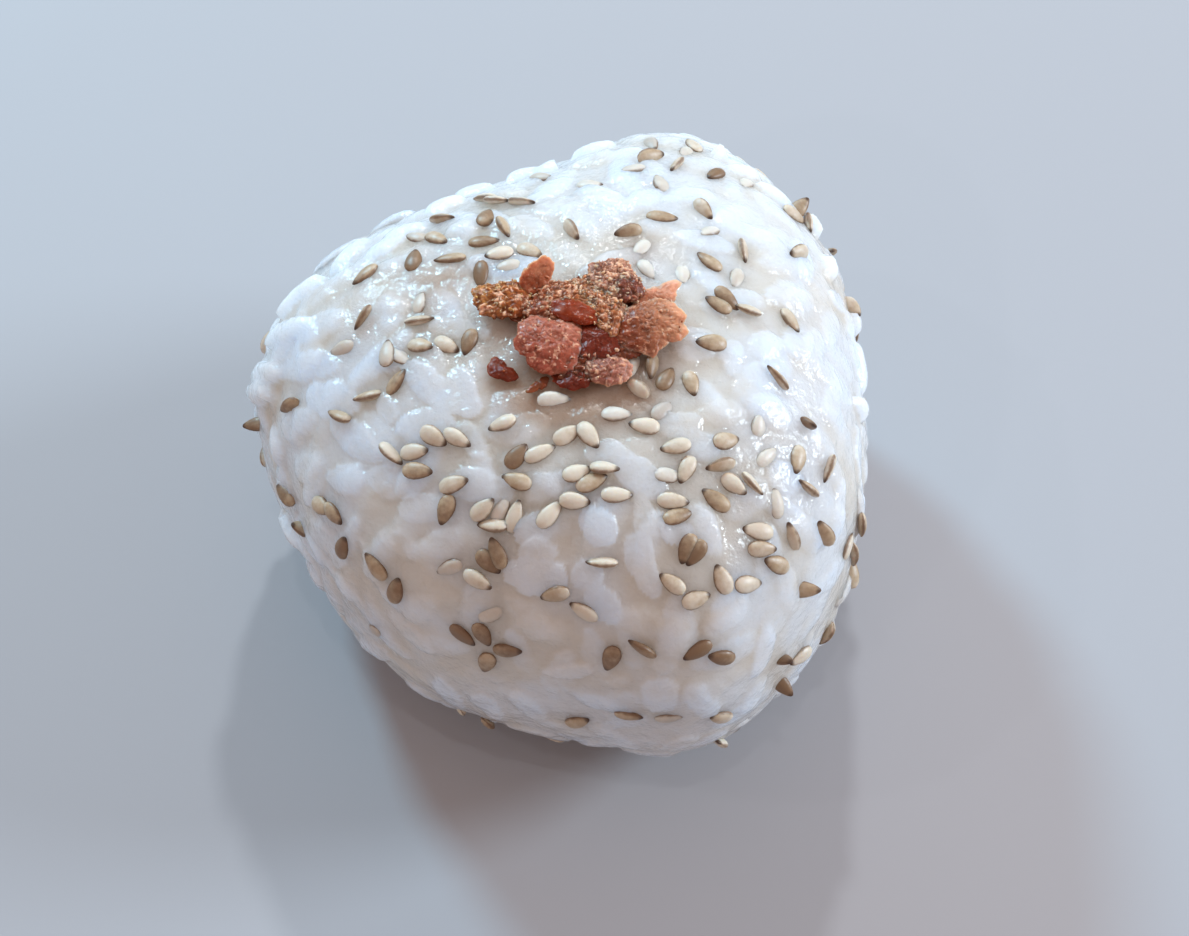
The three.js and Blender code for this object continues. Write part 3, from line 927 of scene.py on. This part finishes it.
# A seed: flat, round at the blunt end and drawn out to a tip at +X. Its half width is the sine
# of the way along, with the widest place pulled back from the tip, and its edge is thin.
def seedShape():
    along, around, faces = poleGrid(seed["rings"], seed["spokes"])
    lengthwise = -np.cos(np.pi * along)
    narrowed = 1 - seed["pulled"][0] * lengthwise - seed["pulled"][1] * lengthwise**2
    across = np.sin(np.pi * along) ** seed["plump"] * narrowed
    side, top = np.cos(around), np.sin(around)
    sideways = across * np.sign(side) * np.abs(side) ** seed["edge"][0]
    upwards = across * np.sign(top) * np.abs(top) ** seed["edge"][1]
    return np.stack([lengthwise, sideways, upwards], axis=-1) / 2, np.abs(side), faces


# Height of the rice over a point of the skin, measured down along the normal from high above.
def riceHeight(point, normal, above=6):
    start = point + normal * above
    spot, _, _, away = riceTree.ray_cast(Vector(start), Vector(-normal), 2 * above)
    return above - away if spot is not None else 0.0


# The seat of a seed: its middle and axes. The rice's height under the tip, the blunt end and
# both sides gives how high it lies and how it leans.
def seatSeed(spot, tipWay, lift, roll, pitch):
    normal = skinNormal(unit(spot - ballCentre)[None])[0]
    sideWay = np.cross(normal, tipWay)
    ahead, aside = seed["length"] * seed["feel"][0], seed["width"] * seed["feel"][1]
    front, back = riceHeight(spot + tipWay * ahead, normal), riceHeight(spot - tipWay * ahead, normal)
    left, right = riceHeight(spot + sideWay * aside, normal), riceHeight(spot - sideWay * aside, normal)
    middle = riceHeight(spot, normal)
    highest = max(middle, (front + back) / 2, (left + right) / 2)
    level = highest * seed["highest"] + middle * (1 - seed["highest"])
    longStep, wideStep = seed["step"]
    lean = math.atan2(np.clip(front - back, -longStep, longStep), 2 * ahead) + pitch
    tilt = math.atan2(np.clip(left - right, -wideStep, wideStep), 2 * aside) + roll
    lengthwise = tipWay * math.cos(lean) + normal * math.sin(lean)
    upwards = np.cross(lengthwise, sideWay)
    sideways = sideWay * math.cos(tilt) + upwards * math.sin(tilt)
    upwards = upwards * math.cos(tilt) - sideWay * math.sin(tilt)
    return spot + normal * (level + lift), np.stack([lengthwise, sideways, upwards])


# Seats for seeds given by pixel, each with its tone.
def seatByPixel(rows, lift, roll, pitch):
    placed = []
    for x, y, heading, tone in rows:
        spot, ray = touch(riceTree, x, y)
        normal = skinNormal(unit(spot - ballCentre)[None])[0]
        tipWay = shownAlong(ray, normal, heading)
        turned = roll * chance.choice([-1, 1]) * chance.uniform(*seed["rollVary"])
        placed.append((*seatSeed(spot, tipWay, lift, turned, pitch), tone))
    return placed


# Seats on the sides turned away from the camera, kept apart, with none underneath.
def seatUnseen():
    placed, spots = [], []
    while len(placed) < unseen["count"]:
        direction = unit(chance.normal(size=3))
        spot = skinPoint(direction[None])[0]
        normal = skinNormal(direction[None])[0]
        seen = normal @ unit(eye - spot) > unseen["facing"]
        under = normal[2] < unseen["lowest"]
        close = spots and np.linalg.norm(np.array(spots) - spot, axis=1).min() < unseen["apart"]
        if seen or under or close:
            continue
        spots.append(spot)
        tipWay = turnedAlong(normal, chance.uniform(0, 2 * np.pi))
        onEdge = chance.random() < unseen["onEdge"]
        lift = chance.uniform(*unseen["lift"])
        roll = unseen["edgeRoll"] if onEdge else chance.normal(0, unseen["roll"])
        placed.append((*seatSeed(spot, tipWay, lift, roll, 0.0), chance.uniform(*unseen["tone"])))
    return placed


sesameTints = {
    "cream": rgb(0.63, 0.565, 0.47),
    "tan": rgb(0.44, 0.335, 0.225),
    "brown": rgb(0.22, 0.135, 0.075),
    "veil": rgb(0.64, 0.63, 0.60),
    # Painted shade round the edge.
    "edge": rgb(0.17, 0.095, 0.05),
    "tip": rgb(0.075, 0.040, 0.022),
}


# Toasted sesame: greyish cream to brown, with shade painted round its edge and darker towards the
# tip, with a faint mottle and the same wet film as the rice, which veils a seed that is pressed in.
def sesameFinish():
    finish = Finish("toasted sesame")
    tone, tip, rim = finish.number("tone"), finish.number("tip"), finish.number("rim")
    mottle = finish.noise(0.6, 3.0)
    worn = (tone + (mottle - 0.5) * 0.5 + (tip - 0.5) * 0.25).between(0.0, 1.0)
    light = finish.blend(worn.between(0.0, 0.6), sesameTints["cream"], sesameTints["tan"])
    shell = finish.blend(worn.between(0.5, 1.0), light, sesameTints["brown"])
    veiled = finish.blend(finish.number("veil") * 0.55, shell, sesameTints["veil"])
    # Painted shade round the seed's edge, where its sides turn away.
    edge = (rim + (mottle - 0.5) * 0.3).between(0.74, 1.0) * (0.80 + tone * 0.15)
    edgeShaded = finish.blend(edge, veiled, sesameTints["edge"])
    dark = (tip + (mottle - 0.5) * 0.12).between(0.80, 0.96)
    return finish.surface({
        "Base Color": finish.blend(dark, edgeShaded, sesameTints["tip"]),
        "Roughness": 0.32 + mottle * 0.2,
        "Subsurface Weight": 0.6,
        "Subsurface Radius": (1.0, 0.75, 0.5),
        "Subsurface Scale": 0.6 * mm,
        "Normal": finish.bump(finish.noise(0.3, 2.0), 0.04, 0.7),
    })


# All seeds: the one shape scaled and turned to each seat's axes.
def makeSeeds():
    placed = seatByPixel(flatSeeds, *seats["flat"])
    placed += seatByPixel(edgeSeeds, *seats["edge"])
    placed += seatByPixel(outwardSeeds, *seats["outward"])
    placed += seatUnseen()
    clear = len(placed)
    placed += seatByPixel(sunkenSeeds, *seats["sunken"])
    shape, side, faces = seedShape()
    middles, axes, tones = (np.array(part) for part in zip(*placed))
    sizes = np.array([seed["length"], seed["width"], seed["thick"]])
    sizes = sizes * (1 + seed["vary"] * chance.uniform(-1, 1, (len(placed), 3)))
    points = middles[:, None] + np.einsum("gpk,gkc->gpc", shape[None] * sizes[:, None], axes)
    points[..., 2] = np.maximum(points[..., 2], seed["lowest"])
    numbers = {
        "tone": np.repeat(tones, len(shape)),
        "tip": np.tile(shape[:, 0] + 0.5, len(placed)),
        "rim": np.tile(side, len(placed)),
        "veil": np.repeat(np.arange(len(placed)) >= clear, len(shape)),
    }
    faces = repeatFaces(faces, len(placed), len(shape))
    return makePiece("sesame_seeds", points, faces, sesameFinish(), numbers)


sesameSeeds = makeSeeds()
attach(sesameSeeds, "root")
print("sesame made")

# Salmon. Each flake lies on the rice inside an outline, given as pixels. lift is its middle above
# the rice and thick its thickness in mm, lean how far its far end is raised, in degrees, rough
# how crumbly it is, pale how much of it is light crumbs, dark how much of it is browned, and
# sheer how glassy its edge is, with light through it painted in paler. far is its colour at
# the end that lies in the direction way, in degrees.
flakes = [
    {"name": "bed", "lift": 0.25, "thick": 1.3, "lean": 0, "rough": 0.8, "pale": 0.15, "dark": 0.6,
     "sheer": 0, "colour": (0.18, 0.05, 0.022),
     "outline": [(484, 294), (520, 290), (560, 289), (590, 274), (622, 268), (636, 285), (646, 303),
                 (676, 316), (676, 333), (650, 349), (628, 360), (618, 377), (590, 380), (562, 380),
                 (552, 367), (530, 362), (520, 345), (524, 325), (502, 313), (484, 308)]},
    {"name": "golden end", "lift": 0.45, "thick": 1.7, "lean": 0, "rough": 0.9, "pale": 0.6,
     "dark": 0.25, "sheer": 0.2, "colour": (0.42, 0.18, 0.05), "far": (0.28, 0.06, 0.015), "way": -20,
     "outline": [(472, 301), (474, 290), (482, 285), (495, 286), (507, 283), (519, 284), (529, 292),
                 (533, 304), (527, 315), (510, 318), (491, 318), (478, 313)]},
    {"name": "standing flake", "lift": 1.3, "thick": 0.7, "lean": 38, "rough": 0.28, "pale": 0.4,
     "dark": 0.12, "sheer": 0.6, "colour": (0.27, 0.048, 0.012), "far": (0.52, 0.21, 0.115), "way": 70,
     "outline": [(517, 291), (519, 281), (526, 267), (537, 261), (542, 255), (550, 255), (555, 262),
                 (553, 272), (549, 282), (552, 293), (545, 305), (532, 308), (523, 303)]},
    {"name": "middle crumbs", "lift": 0.7, "thick": 1.9, "lean": 0, "rough": 0.9, "pale": 0.75,
     "dark": 0.25, "sheer": 0, "colour": (0.24, 0.045, 0.012), "far": (0.50, 0.20, 0.08), "way": 10,
     "outline": [(523, 313), (532, 298), (545, 285), (560, 283), (575, 284), (592, 288), (606, 300),
                 (602, 314), (587, 322), (560, 325), (540, 323), (528, 320)]},
    {"name": "inner crumbs", "lift": 0.95, "thick": 1.9, "lean": 0, "rough": 0.9, "pale": 0.75,
     "dark": 0.20, "sheer": 0, "colour": (0.42, 0.15, 0.06),
     "outline": [(571, 281), (589, 278), (605, 282), (618, 294), (626, 308), (626, 322), (615, 338),
                 (603, 334), (593, 325), (586, 314), (578, 302), (572, 291)]},
    {"name": "smooth flake", "lift": 1.4, "thick": 0.8, "lean": 8, "rough": 0.03, "pale": 0.0,
     "dark": 0.05, "sheer": 0.3, "colour": (0.22, 0.028, 0.007),
     "outline": [(547, 307), (551, 301), (562, 298), (575, 299), (588, 305), (598, 314), (598, 323),
                 (586, 326), (572, 321), (557, 317), (549, 312)]},
    {"name": "broad flake", "lift": 0.8, "thick": 1.5, "lean": 6, "rough": 0.42, "pale": 0.45,
     "dark": 0.22, "sheer": 0.35, "colour": (0.27, 0.055, 0.030), "far": (0.44, 0.155, 0.10), "way": 75,
     "outline": [(512, 344), (516, 333), (518, 325), (525, 318), (542, 316), (559, 318), (574, 321),
                 (584, 330), (584, 343), (580, 357), (571, 371), (555, 374), (542, 373), (530, 367),
                 (525, 358), (517, 351)]},
    {"name": "dark flake", "lift": 0.7, "thick": 1.1, "lean": 5, "rough": 0.25, "pale": 0.15,
     "dark": 0.3, "sheer": 0.2, "colour": (0.14, 0.017, 0.007),
     "outline": [(573, 337), (581, 325), (595, 320), (608, 324), (617, 337), (621, 350), (613, 361),
                 (595, 363), (580, 359), (573, 347)]},
    {"name": "front flake", "lift": 0.6, "thick": 1.4, "lean": 0, "rough": 0.55, "pale": 0.60,
     "dark": 0.20, "sheer": 0.6, "colour": (0.22, 0.055, 0.035), "far": (0.46, 0.21, 0.155), "way": 0,
     "outline": [(582, 362), (592, 354), (606, 354), (622, 358), (634, 366), (630, 378), (617, 386),
                 (602, 385), (590, 381)]},
    {"name": "front stub", "lift": 0.5, "thick": 1.0, "lean": 0, "rough": 0.35, "pale": 0.10,
     "dark": 0.30, "sheer": 0.2, "colour": (0.13, 0.016, 0.007),
     "outline": [(549, 375), (560, 363), (575, 356), (588, 359), (594, 369), (591, 384), (584, 389),
                 (569, 390), (555, 385)]},
    {"name": "back crumb", "lift": 1.1, "thick": 2.0, "lean": 0, "rough": 0.9, "pale": 0.95,
     "dark": 0.30, "sheer": 0, "colour": (0.46, 0.22, 0.15),
     "outline": [(587, 279), (589, 268), (600, 262), (615, 259), (626, 262), (631, 270), (640, 280),
                 (643, 291), (637, 301), (622, 305), (606, 301), (593, 292)]},
    {"name": "maroon crumb", "lift": 1.35, "thick": 1.5, "lean": 0, "rough": 0.75, "pale": 0.35,
     "dark": 0.30, "sheer": 0, "colour": (0.20, 0.065, 0.045),
     "outline": [(611, 283), (618, 276), (630, 275), (638, 279), (643, 288), (639, 299), (627, 303),
                 (615, 298)]},
    {"name": "orange flake", "lift": 1.1, "thick": 1.0, "lean": 11, "rough": 0.36, "pale": 0.5,
     "dark": 0.05, "sheer": 0.6, "colour": (0.17, 0.024, 0.004), "far": (0.62, 0.30, 0.17), "way": 20,
     "outline": [(611, 328), (621, 316), (631, 307), (645, 301), (661, 297), (671, 301), (679, 308),
                 (688, 316), (684, 324), (689, 333), (681, 341), (669, 342), (660, 349), (653, 359),
                 (643, 353), (624, 351), (613, 341)]},
    {"name": "fin", "lift": 1.45, "thick": 0.6, "lean": 12, "rough": 0.22, "pale": 0.40,
     "dark": 0.0, "sheer": 0.6, "colour": (0.36, 0.11, 0.05), "far": (0.62, 0.31, 0.20), "way": 60,
     "outline": [(631, 309), (637, 299), (644, 294), (660, 286), (677, 279), (682, 283), (676, 291),
                 (675, 303), (668, 314), (654, 320), (641, 318)]},
    {"name": "lone crumb", "lift": 0.25, "thick": 0.8, "lean": 0, "rough": 0.35, "pale": 0.10,
     "dark": 0.30, "sheer": 0.3, "colour": (0.14, 0.018, 0.006),
     "outline": [(486, 368), (494, 357), (502, 360), (507, 367), (517, 373), (521, 380), (510, 382),
                 (500, 379), (491, 377)]},
    {"name": "stem", "lift": 0.12, "thick": 0.45, "lean": 0, "rough": 0.25, "pale": 0.15,
     "dark": 0.35, "sheer": 0.3, "colour": (0.20, 0.055, 0.02),
     "outline": [(525, 392), (529, 388), (539, 383), (549, 376), (555, 376), (549, 383), (539, 389),
                 (530, 393)]},
]
flakeMake = {
    "grid": (0.09, 0.13),  # mm between rings and, at the edge, between points
    "underside": 0.15,  # share of the rings that go underneath
    "power": (1.7, 0.9),  # of the edge's curve, where it is smooth and where it is crumbly
    "frays": [(1.5, 0.17), (0.5, 0.102)],  # mm across and mm high: the teeth of the edge
    "smoothFray": 0.35,  # share of that where it is smooth
    "lumps": [(1.6, 0.08), (1.6 / 3, 0.03)],  # the same, for the larger and the smaller lumps
    "warp": (0.6, 0.10),  # the same, for how the crumbs are bent out of shape
    "crumbs": [(0.48, 0.30), (0.24, 0.11)],  # the same, for the larger and the smaller crumbs
    "uneven": 0.22,  # mm that the larger crumbs differ in height
    "fade": 1.3,  # power of the way from one end's colour to the other's
    "apart": 11.0,  # mm that each flake's noise is moved on from the last one's
    "pale": (0.55, 9),  # share of the crumbs that are light where pale is 1, and how sharply
    "crumbly": 1.5,  # times rough, up to 1, is how much the crumbs show in the colour
    "shade": (0.8, 0.4),  # times its colour where a crumb's number is 0, and how much more up to 1
    "edgePowers": {"fray": 12, "calm": 4, "sheer": 4},  # of the way out, for what is at the edge
    "calm": 0.6,  # share of the lumps that is lost at the edge
    # The painted shade in the pits between crumbs:
    "pitShade": (0.9, 0.6, 0.25),  # times the distances to larger and smaller crumbs, less the last
    "mix": (0.45, 0.55),  # shares of the larger and smaller crumbs' numbers in a point's
    # Added to a flake's number, for what each noise is drawn from.
    "starts": {"frays": (90, 0), "lumps": (0, 50), "warp": (20, 30, 40)},
}


# A flake's plane: its origin on the ray through the middle of the outline, as far above the
# rice as the lift says, its axes and normal, and the outline on it as angles and distances.
def flakePlane(flake):
    outline = np.array(flake["outline"], float)
    spot, ray = touch(riceTree, *outline.mean(axis=0))
    lean = math.radians(flake["lean"])
    ahead = np.array([0, math.cos(lean), math.sin(lean)])
    normal = np.cross(frameRight, ahead)
    origin = spot + ray * (flake["lift"] / ray[2])
    rays = np.array([pixelRay(x, y) for x, y in outline])
    away = ((origin - eye) @ normal) / (rays @ normal)
    arms = eye + rays * away[:, None] - origin
    angles = np.arctan2(arms @ ahead, arms @ frameRight)
    radii = np.linalg.norm(arms, axis=1)
    order = np.argsort(angles)
    return origin, np.stack([frameRight, ahead, normal]), angles[order], radii[order]


# Points on a flake's plane, and level over it.
def flatPoints(reach, heading, level):
    return np.stack([reach * np.cos(heading), reach * np.sin(heading), level], axis=-1)


# A coarse and a fine noise added up, each as high as its layer and its share say.
def layeredNoise(points, layers, index, starts, shares):
    (wide, deep), (fine, shallow) = layers
    coarse = deep * shares[0] * waveNoise(points, wide, index + starts[0])
    return coarse + shallow * shares[1] * waveNoise(points, fine, index + starts[1])


# The colour of each of a flake's points: from one end to the other by a power of the way.
def flakeColour(flake, points, size):
    turn = math.radians(flake.get("way", 0))
    farther = points[:, 0] * math.cos(turn) + points[:, 1] * math.sin(turn)
    tint = np.clip(0.5 + farther / (2 * size), 0, 1)[:, None] ** flakeMake["fade"]
    near, far = np.array(flake["colour"]), np.array(flake.get("far", flake["colour"]))
    return near * (1 - tint) + far * tint


# A flake: out from the middle of its plane to the outline, which frays, and up and down by half
# its thickness times the height of a half circle to a power, so that a smooth flake thins out
# to its edge. Lumps of noise and close-packed crumbs then push it in and out. Also for each
# point how far out it is, how deep in a pit between crumbs, which sets the painted shade there,
# its crumb's own number from 0 to 1, and its colour.
def flakeShape(flake, index):
    origin, axes, angles, radii = flakePlane(flake)
    size, rough = radii.mean(), flake["rough"]
    ringStep, pointStep = flakeMake["grid"]
    rings = int(size / ringStep / (1 - flakeMake["underside"]))
    along, heading, faces = poleGrid(rings, int(2 * np.pi * size / pointStep))
    radius = np.interp(heading, angles, radii, period=2 * np.pi)
    share = np.interp(along, [0, flakeMake["underside"], 1], [-1, 0, 1])
    out = 1 - np.abs(share)
    level = np.sign(share) * np.sqrt(1 - out**2)
    rim = flatPoints(radius, heading, heading * 0)
    starts, powers = flakeMake["starts"], flakeMake["edgePowers"]
    fray = layeredNoise(rim, flakeMake["frays"], index, starts["frays"], (1, 1))
    fray = fray * (flakeMake["smoothFray"] * (1 - rough) + rough) * out ** powers["fray"]
    smooth, crumbly = flakeMake["power"]
    power = smooth * (1 - rough) + crumbly * rough
    rise = np.sign(level) * np.abs(level) ** power * flake["thick"] / 2
    points = flatPoints(out * radius + fray, heading, rise)
    shifted = points + index * flakeMake["apart"]
    lumps = layeredNoise(shifted, flakeMake["lumps"], index, starts["lumps"], (1, rough**0.5))
    across, swing = flakeMake["warp"]
    bends = [waveNoise(shifted, across, index + part) for part in starts["warp"]]
    bent = shifted + swing * np.stack(bends, axis=-1)
    (wide, deep), (fine, shallow) = flakeMake["crumbs"]
    large, largeNumber = crumbNoise(bent, wide, index)
    small, smallNumber = crumbNoise(bent, fine, index)
    granules = deep * (0.5 - large) + shallow * (0.5 - small)
    granules = granules + flakeMake["uneven"] * (largeNumber - 0.5)
    push = lumps * (1 - flakeMake["calm"] * out ** powers["calm"]) + rough * granules
    steep = flatPoints(out * flake["thick"] / 2, heading, level * radius)
    deepest = flakeMake["pitShade"]
    pitShade = np.clip(deepest[0] * large + deepest[1] * small - deepest[2], 0, 1)
    number = flakeMake["mix"][0] * largeNumber + flakeMake["mix"][1] * smallNumber
    colour = flakeColour(flake, points, size)
    return origin + (points + unit(steep) * push[:, None]) @ axes, faces, out, pitShade, number, colour


# The highest point of a shape over a place.
def topOf(tree, x, y, above=20):
    spot, _, _, _ = tree.ray_cast(Vector((x, y, ballTop + above)), Vector((0, 0, -1)))
    return spot


salmonTints = {
    "browned": rgb(0.12, 0.022, 0.010),
    "fat": rgb(0.76, 0.42, 0.30),
    "crumb": rgb(0.74, 0.43, 0.285),
    # Painted shade in the pits between crumbs.
    "pitShade": rgb(0.15, 0.038, 0.014),
    # Painted light through a thin, glassy edge.
    "thin": rgb(0.70, 0.42, 0.29),
}


# Grilled salmon: each flake in its own colour, browned in patches, with painted shade in its pits
# and with light crumbs, paler towards a thin edge where light through it is painted in, under a
# film of oil that glints.
def salmonFinish():
    finish = Finish("grilled salmon")
    light, dark, pitShade = finish.number("light"), finish.number("dark"), finish.number("pitShade")
    patch = finish.noise(1.4, 3.0)
    speck = finish.noise(0.24, 3.0, 0.7)
    browned = (dark + (patch - 0.5) * 1.5 + (speck - 0.5) * 0.6).between(0.10, 0.90) * 0.85
    grilled = finish.blend(browned, finish.colour("colour"), salmonTints["browned"])
    fat = (speck - dark * 0.2).between(0.57, 0.68) * 0.38
    fat = fat + (finish.noise(2.4, 2.0) - dark * 0.4).between(0.46, 0.68) * 0.20
    marbled = finish.blend(fat, grilled, salmonTints["fat"])
    topped = finish.blend(light, marbled, salmonTints["crumb"])
    # Painted shade in the pits between crumbs.
    pitShaded = (pitShade + (speck - 0.5) * 0.3).between(0.25, 0.85) * 0.75
    shaded = finish.blend(pitShaded, topped, salmonTints["pitShade"])
    # Painted light through a thin, glassy edge: paler towards it.
    thin = (finish.number("sheer") + (speck - 0.5) * 0.3).between(0.20, 0.90) * 0.55
    return finish.surface({
        "Base Color": finish.blend(thin, shaded, salmonTints["thin"]),
        "Roughness": 0.14 + speck * 0.20,
        "Subsurface Weight": 0.8,
        "Subsurface Radius": (1.0, 0.6, 0.45),
        "Subsurface Scale": 0.9 * mm,
        "IOR": 1.40,
        "Specular IOR Level": 0.22,
        "Normal": finish.bump(finish.noise(0.30, 2.0, 0.5), 0.06, 0.8),
    })


# All flakes as one mesh, and a tree of it and the rice.
def makeFlakes(material):
    allPoints, allFaces, count = [], [], 0
    numbers = {"colour": [], "light": [], "dark": [], "pitShade": [], "sheer": []}
    for index, flake in enumerate(flakes):
        points, faces, out, pitShade, number, colour = flakeShape(flake, index)
        allPoints.append(points)
        allFaces += [part + count for part in faces]
        count += len(points)
        crumbly = min(1.0, flake["rough"] * flakeMake["crumbly"])
        paleShare, sharpness = flakeMake["pale"]
        light = np.clip((number - 1 + paleShare * flake["pale"]) * sharpness, 0, 1)
        least, more = flakeMake["shade"]
        numbers["colour"].append(colour * (least + more * number[:, None]))
        numbers["light"].append(light * crumbly)
        numbers["dark"].append(np.full(len(points), flake["dark"]))
        numbers["pitShade"].append(pitShade * crumbly)
        numbers["sheer"].append(flake["sheer"] * out ** flakeMake["edgePowers"]["sheer"])
    allPoints = np.concatenate(allPoints)
    numbers = {label: np.concatenate(values) for label, values in numbers.items()}
    print("salmon points:", len(allPoints))
    piece = makePiece("salmon_flakes", allPoints, allFaces, material, numbers)
    return piece, rayTree((allPoints, allFaces), *riceShapes)


crumb = {
    "count": 340,
    "size": (0.14, 0.34),  # mm
    "rings": 4,
    "spokes": 6,
    "spread": 1.2,  # of its flake's area, over which a crumb may land
    "drop": (0.35, 0.2),  # share of the flake's thickness, and mm, that it may fall or climb
    "sunk": 0.05,  # share of its size that its middle lies above what it landed on
    "shade": (0.8, 1.5),  # times its flake's colour
    "browned": 1.2,  # times its flake's dark, at most
    "uneven": 0.45,  # share that each point goes in or out
    "stretch": (0.5, 1.6),  # times its size along each axis
}


# Crumbs strewn over the crumbly flakes, the bed left out, and a few round the heap: small chips,
# each pushed out of shape at each point, dropped onto whatever is under it and half sunk.
def makeCrumbs(material, tree):
    along, around, faces = poleGrid(crumb["rings"], crumb["spokes"])
    directions = directionsAt(along, around)
    planes = [flakePlane(flake) for flake in flakes]
    areas = np.array([plane[3].mean() ** 2 for plane in planes])
    weights = np.array([flake["rough"] ** 2 for flake in flakes]) * areas
    weights[0] = 0
    share, least = crumb["drop"]
    chosen = chance.choice(len(flakes), crumb["count"], p=weights / weights.sum())
    middles, sizes = [], []
    numbers = {"colour": [], "light": [], "dark": [], "pitShade": [], "sheer": []}
    for index in chosen:
        flake, (origin, axes, angles, radii) = flakes[index], planes[index]
        heading = chance.uniform(-np.pi, np.pi)
        out = np.interp(heading, angles, radii, period=2 * np.pi)
        out = out * math.sqrt(chance.uniform(0, crumb["spread"]))
        place = origin + out * (math.cos(heading) * axes[0] + math.sin(heading) * axes[1])
        size = chance.uniform(*crumb["size"])
        spot = np.array(topOf(tree, place[0], place[1]))
        if abs(spot[2] - place[2]) > flake["thick"] * share + least:
            continue
        middles.append(spot + [0, 0, size * crumb["sunk"]])
        sizes.append(size)
        numbers["colour"].append(np.array(flake["colour"]) * chance.uniform(*crumb["shade"]))
        numbers["light"].append(chance.uniform(0, 1) * flake["pale"])
        numbers["dark"].append(flake["dark"] * chance.uniform(0, crumb["browned"]))
        numbers["pitShade"].append(0.0)
        numbers["sheer"].append(0.0)
    count, each = len(middles), len(along)
    uneven = 1 + crumb["uneven"] * chance.uniform(-1, 1, (count, each, 1))
    stretch = chance.uniform(*crumb["stretch"], (count, 1, 3))
    points = directions[None] * uneven * stretch * np.array(sizes)[:, None, None] / 2
    points = np.array(middles)[:, None] + points
    numbers = {label: np.repeat(np.array(values), each, axis=0) for label, values in numbers.items()}
    return makePiece("salmon_crumbs", points, repeatFaces(faces, count, each), material, numbers)


salmon = salmonFinish()
salmonFlakes, heapTree = makeFlakes(salmon)
salmonCrumbs = makeCrumbs(salmon, heapTree)
for piece in (salmonFlakes, salmonCrumbs):
    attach(piece, "root")
    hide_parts("salmon_heap")
print("salmon made")

# Floor and light.
studio = {
    "floorHalf": 2.0,  # m
    "floorColour": rgb(0.37, 0.375, 0.40),
    "skyColour": rgb(1.0, 0.745, 0.655),
    "skyStrength": 0.55,
    # Each light: its heading round the ball from +X, its height angle, its distance and size in
    # metres, its power in watts and its colour.
    "lights": {
        "key": (7, 25, 0.70, 0.22, 4.5, (0.72, 0.88, 1.0)),
        "window": (125, 36, 0.70, 0.11, 3.8, (0.43, 0.79, 1.0)),
        "sparkle": (85, 46, 0.60, 0.04, 1.1, (0.9, 0.96, 1.0)),
        "lamp": (270, 76, 0.65, 0.02, 0.20, (0.95, 0.97, 1.0)),
        "front": (235, 40, 0.65, 0.02, 0.16, (0.95, 0.97, 1.0)),
        "side": (190, 50, 0.65, 0.02, 0.14, (0.9, 0.96, 1.0)),
    },
}


def makeStudio():
    half = studio["floorHalf"]
    mesh = bpy.data.meshes.new("floor")
    mesh.from_pydata([(-half, -half, 0), (half, -half, 0), (half, half, 0), (-half, half, 0)], [],
                     [(0, 1, 2, 3)])
    floor = bpy.data.objects.new("floor", mesh)
    scene.collection.objects.link(floor)
    finish = Finish("glazed floor")
    mesh.materials.append(finish.surface({
        "Base Color": studio["floorColour"],
        "Roughness": 0.55 + finish.noise(40, 2.0) * 0.1,
        "Specular IOR Level": 0.25,
    }))
    aim = Vector(ballCentre) * mm
    for name, (heading, height, away, size, power, colour) in studio["lights"].items():
        data = bpy.data.lights.new(name, "AREA")
        data.shape = "DISK"
        data.size = size
        data.energy = power
        data.color = colour
        light = bpy.data.objects.new(name, data)
        scene.collection.objects.link(light)
        around, up = math.radians(heading), math.radians(height)
        way = Vector((math.cos(up) * math.cos(around), math.cos(up) * math.sin(around), math.sin(up)))
        light.location = aim + way * away
        light.rotation_euler = way.to_track_quat("Z", "Y").to_euler()
    world = bpy.data.worlds.new("studio")
    world.use_nodes = True
    sky = world.node_tree.nodes["Background"]
    sky.inputs["Color"].default_value = studio["skyColour"]
    sky.inputs["Strength"].default_value = studio["skyStrength"]
    scene.world = world
    scene.view_settings.view_transform = "Standard"


makeCamera()
makeStudio()
print("studio made")
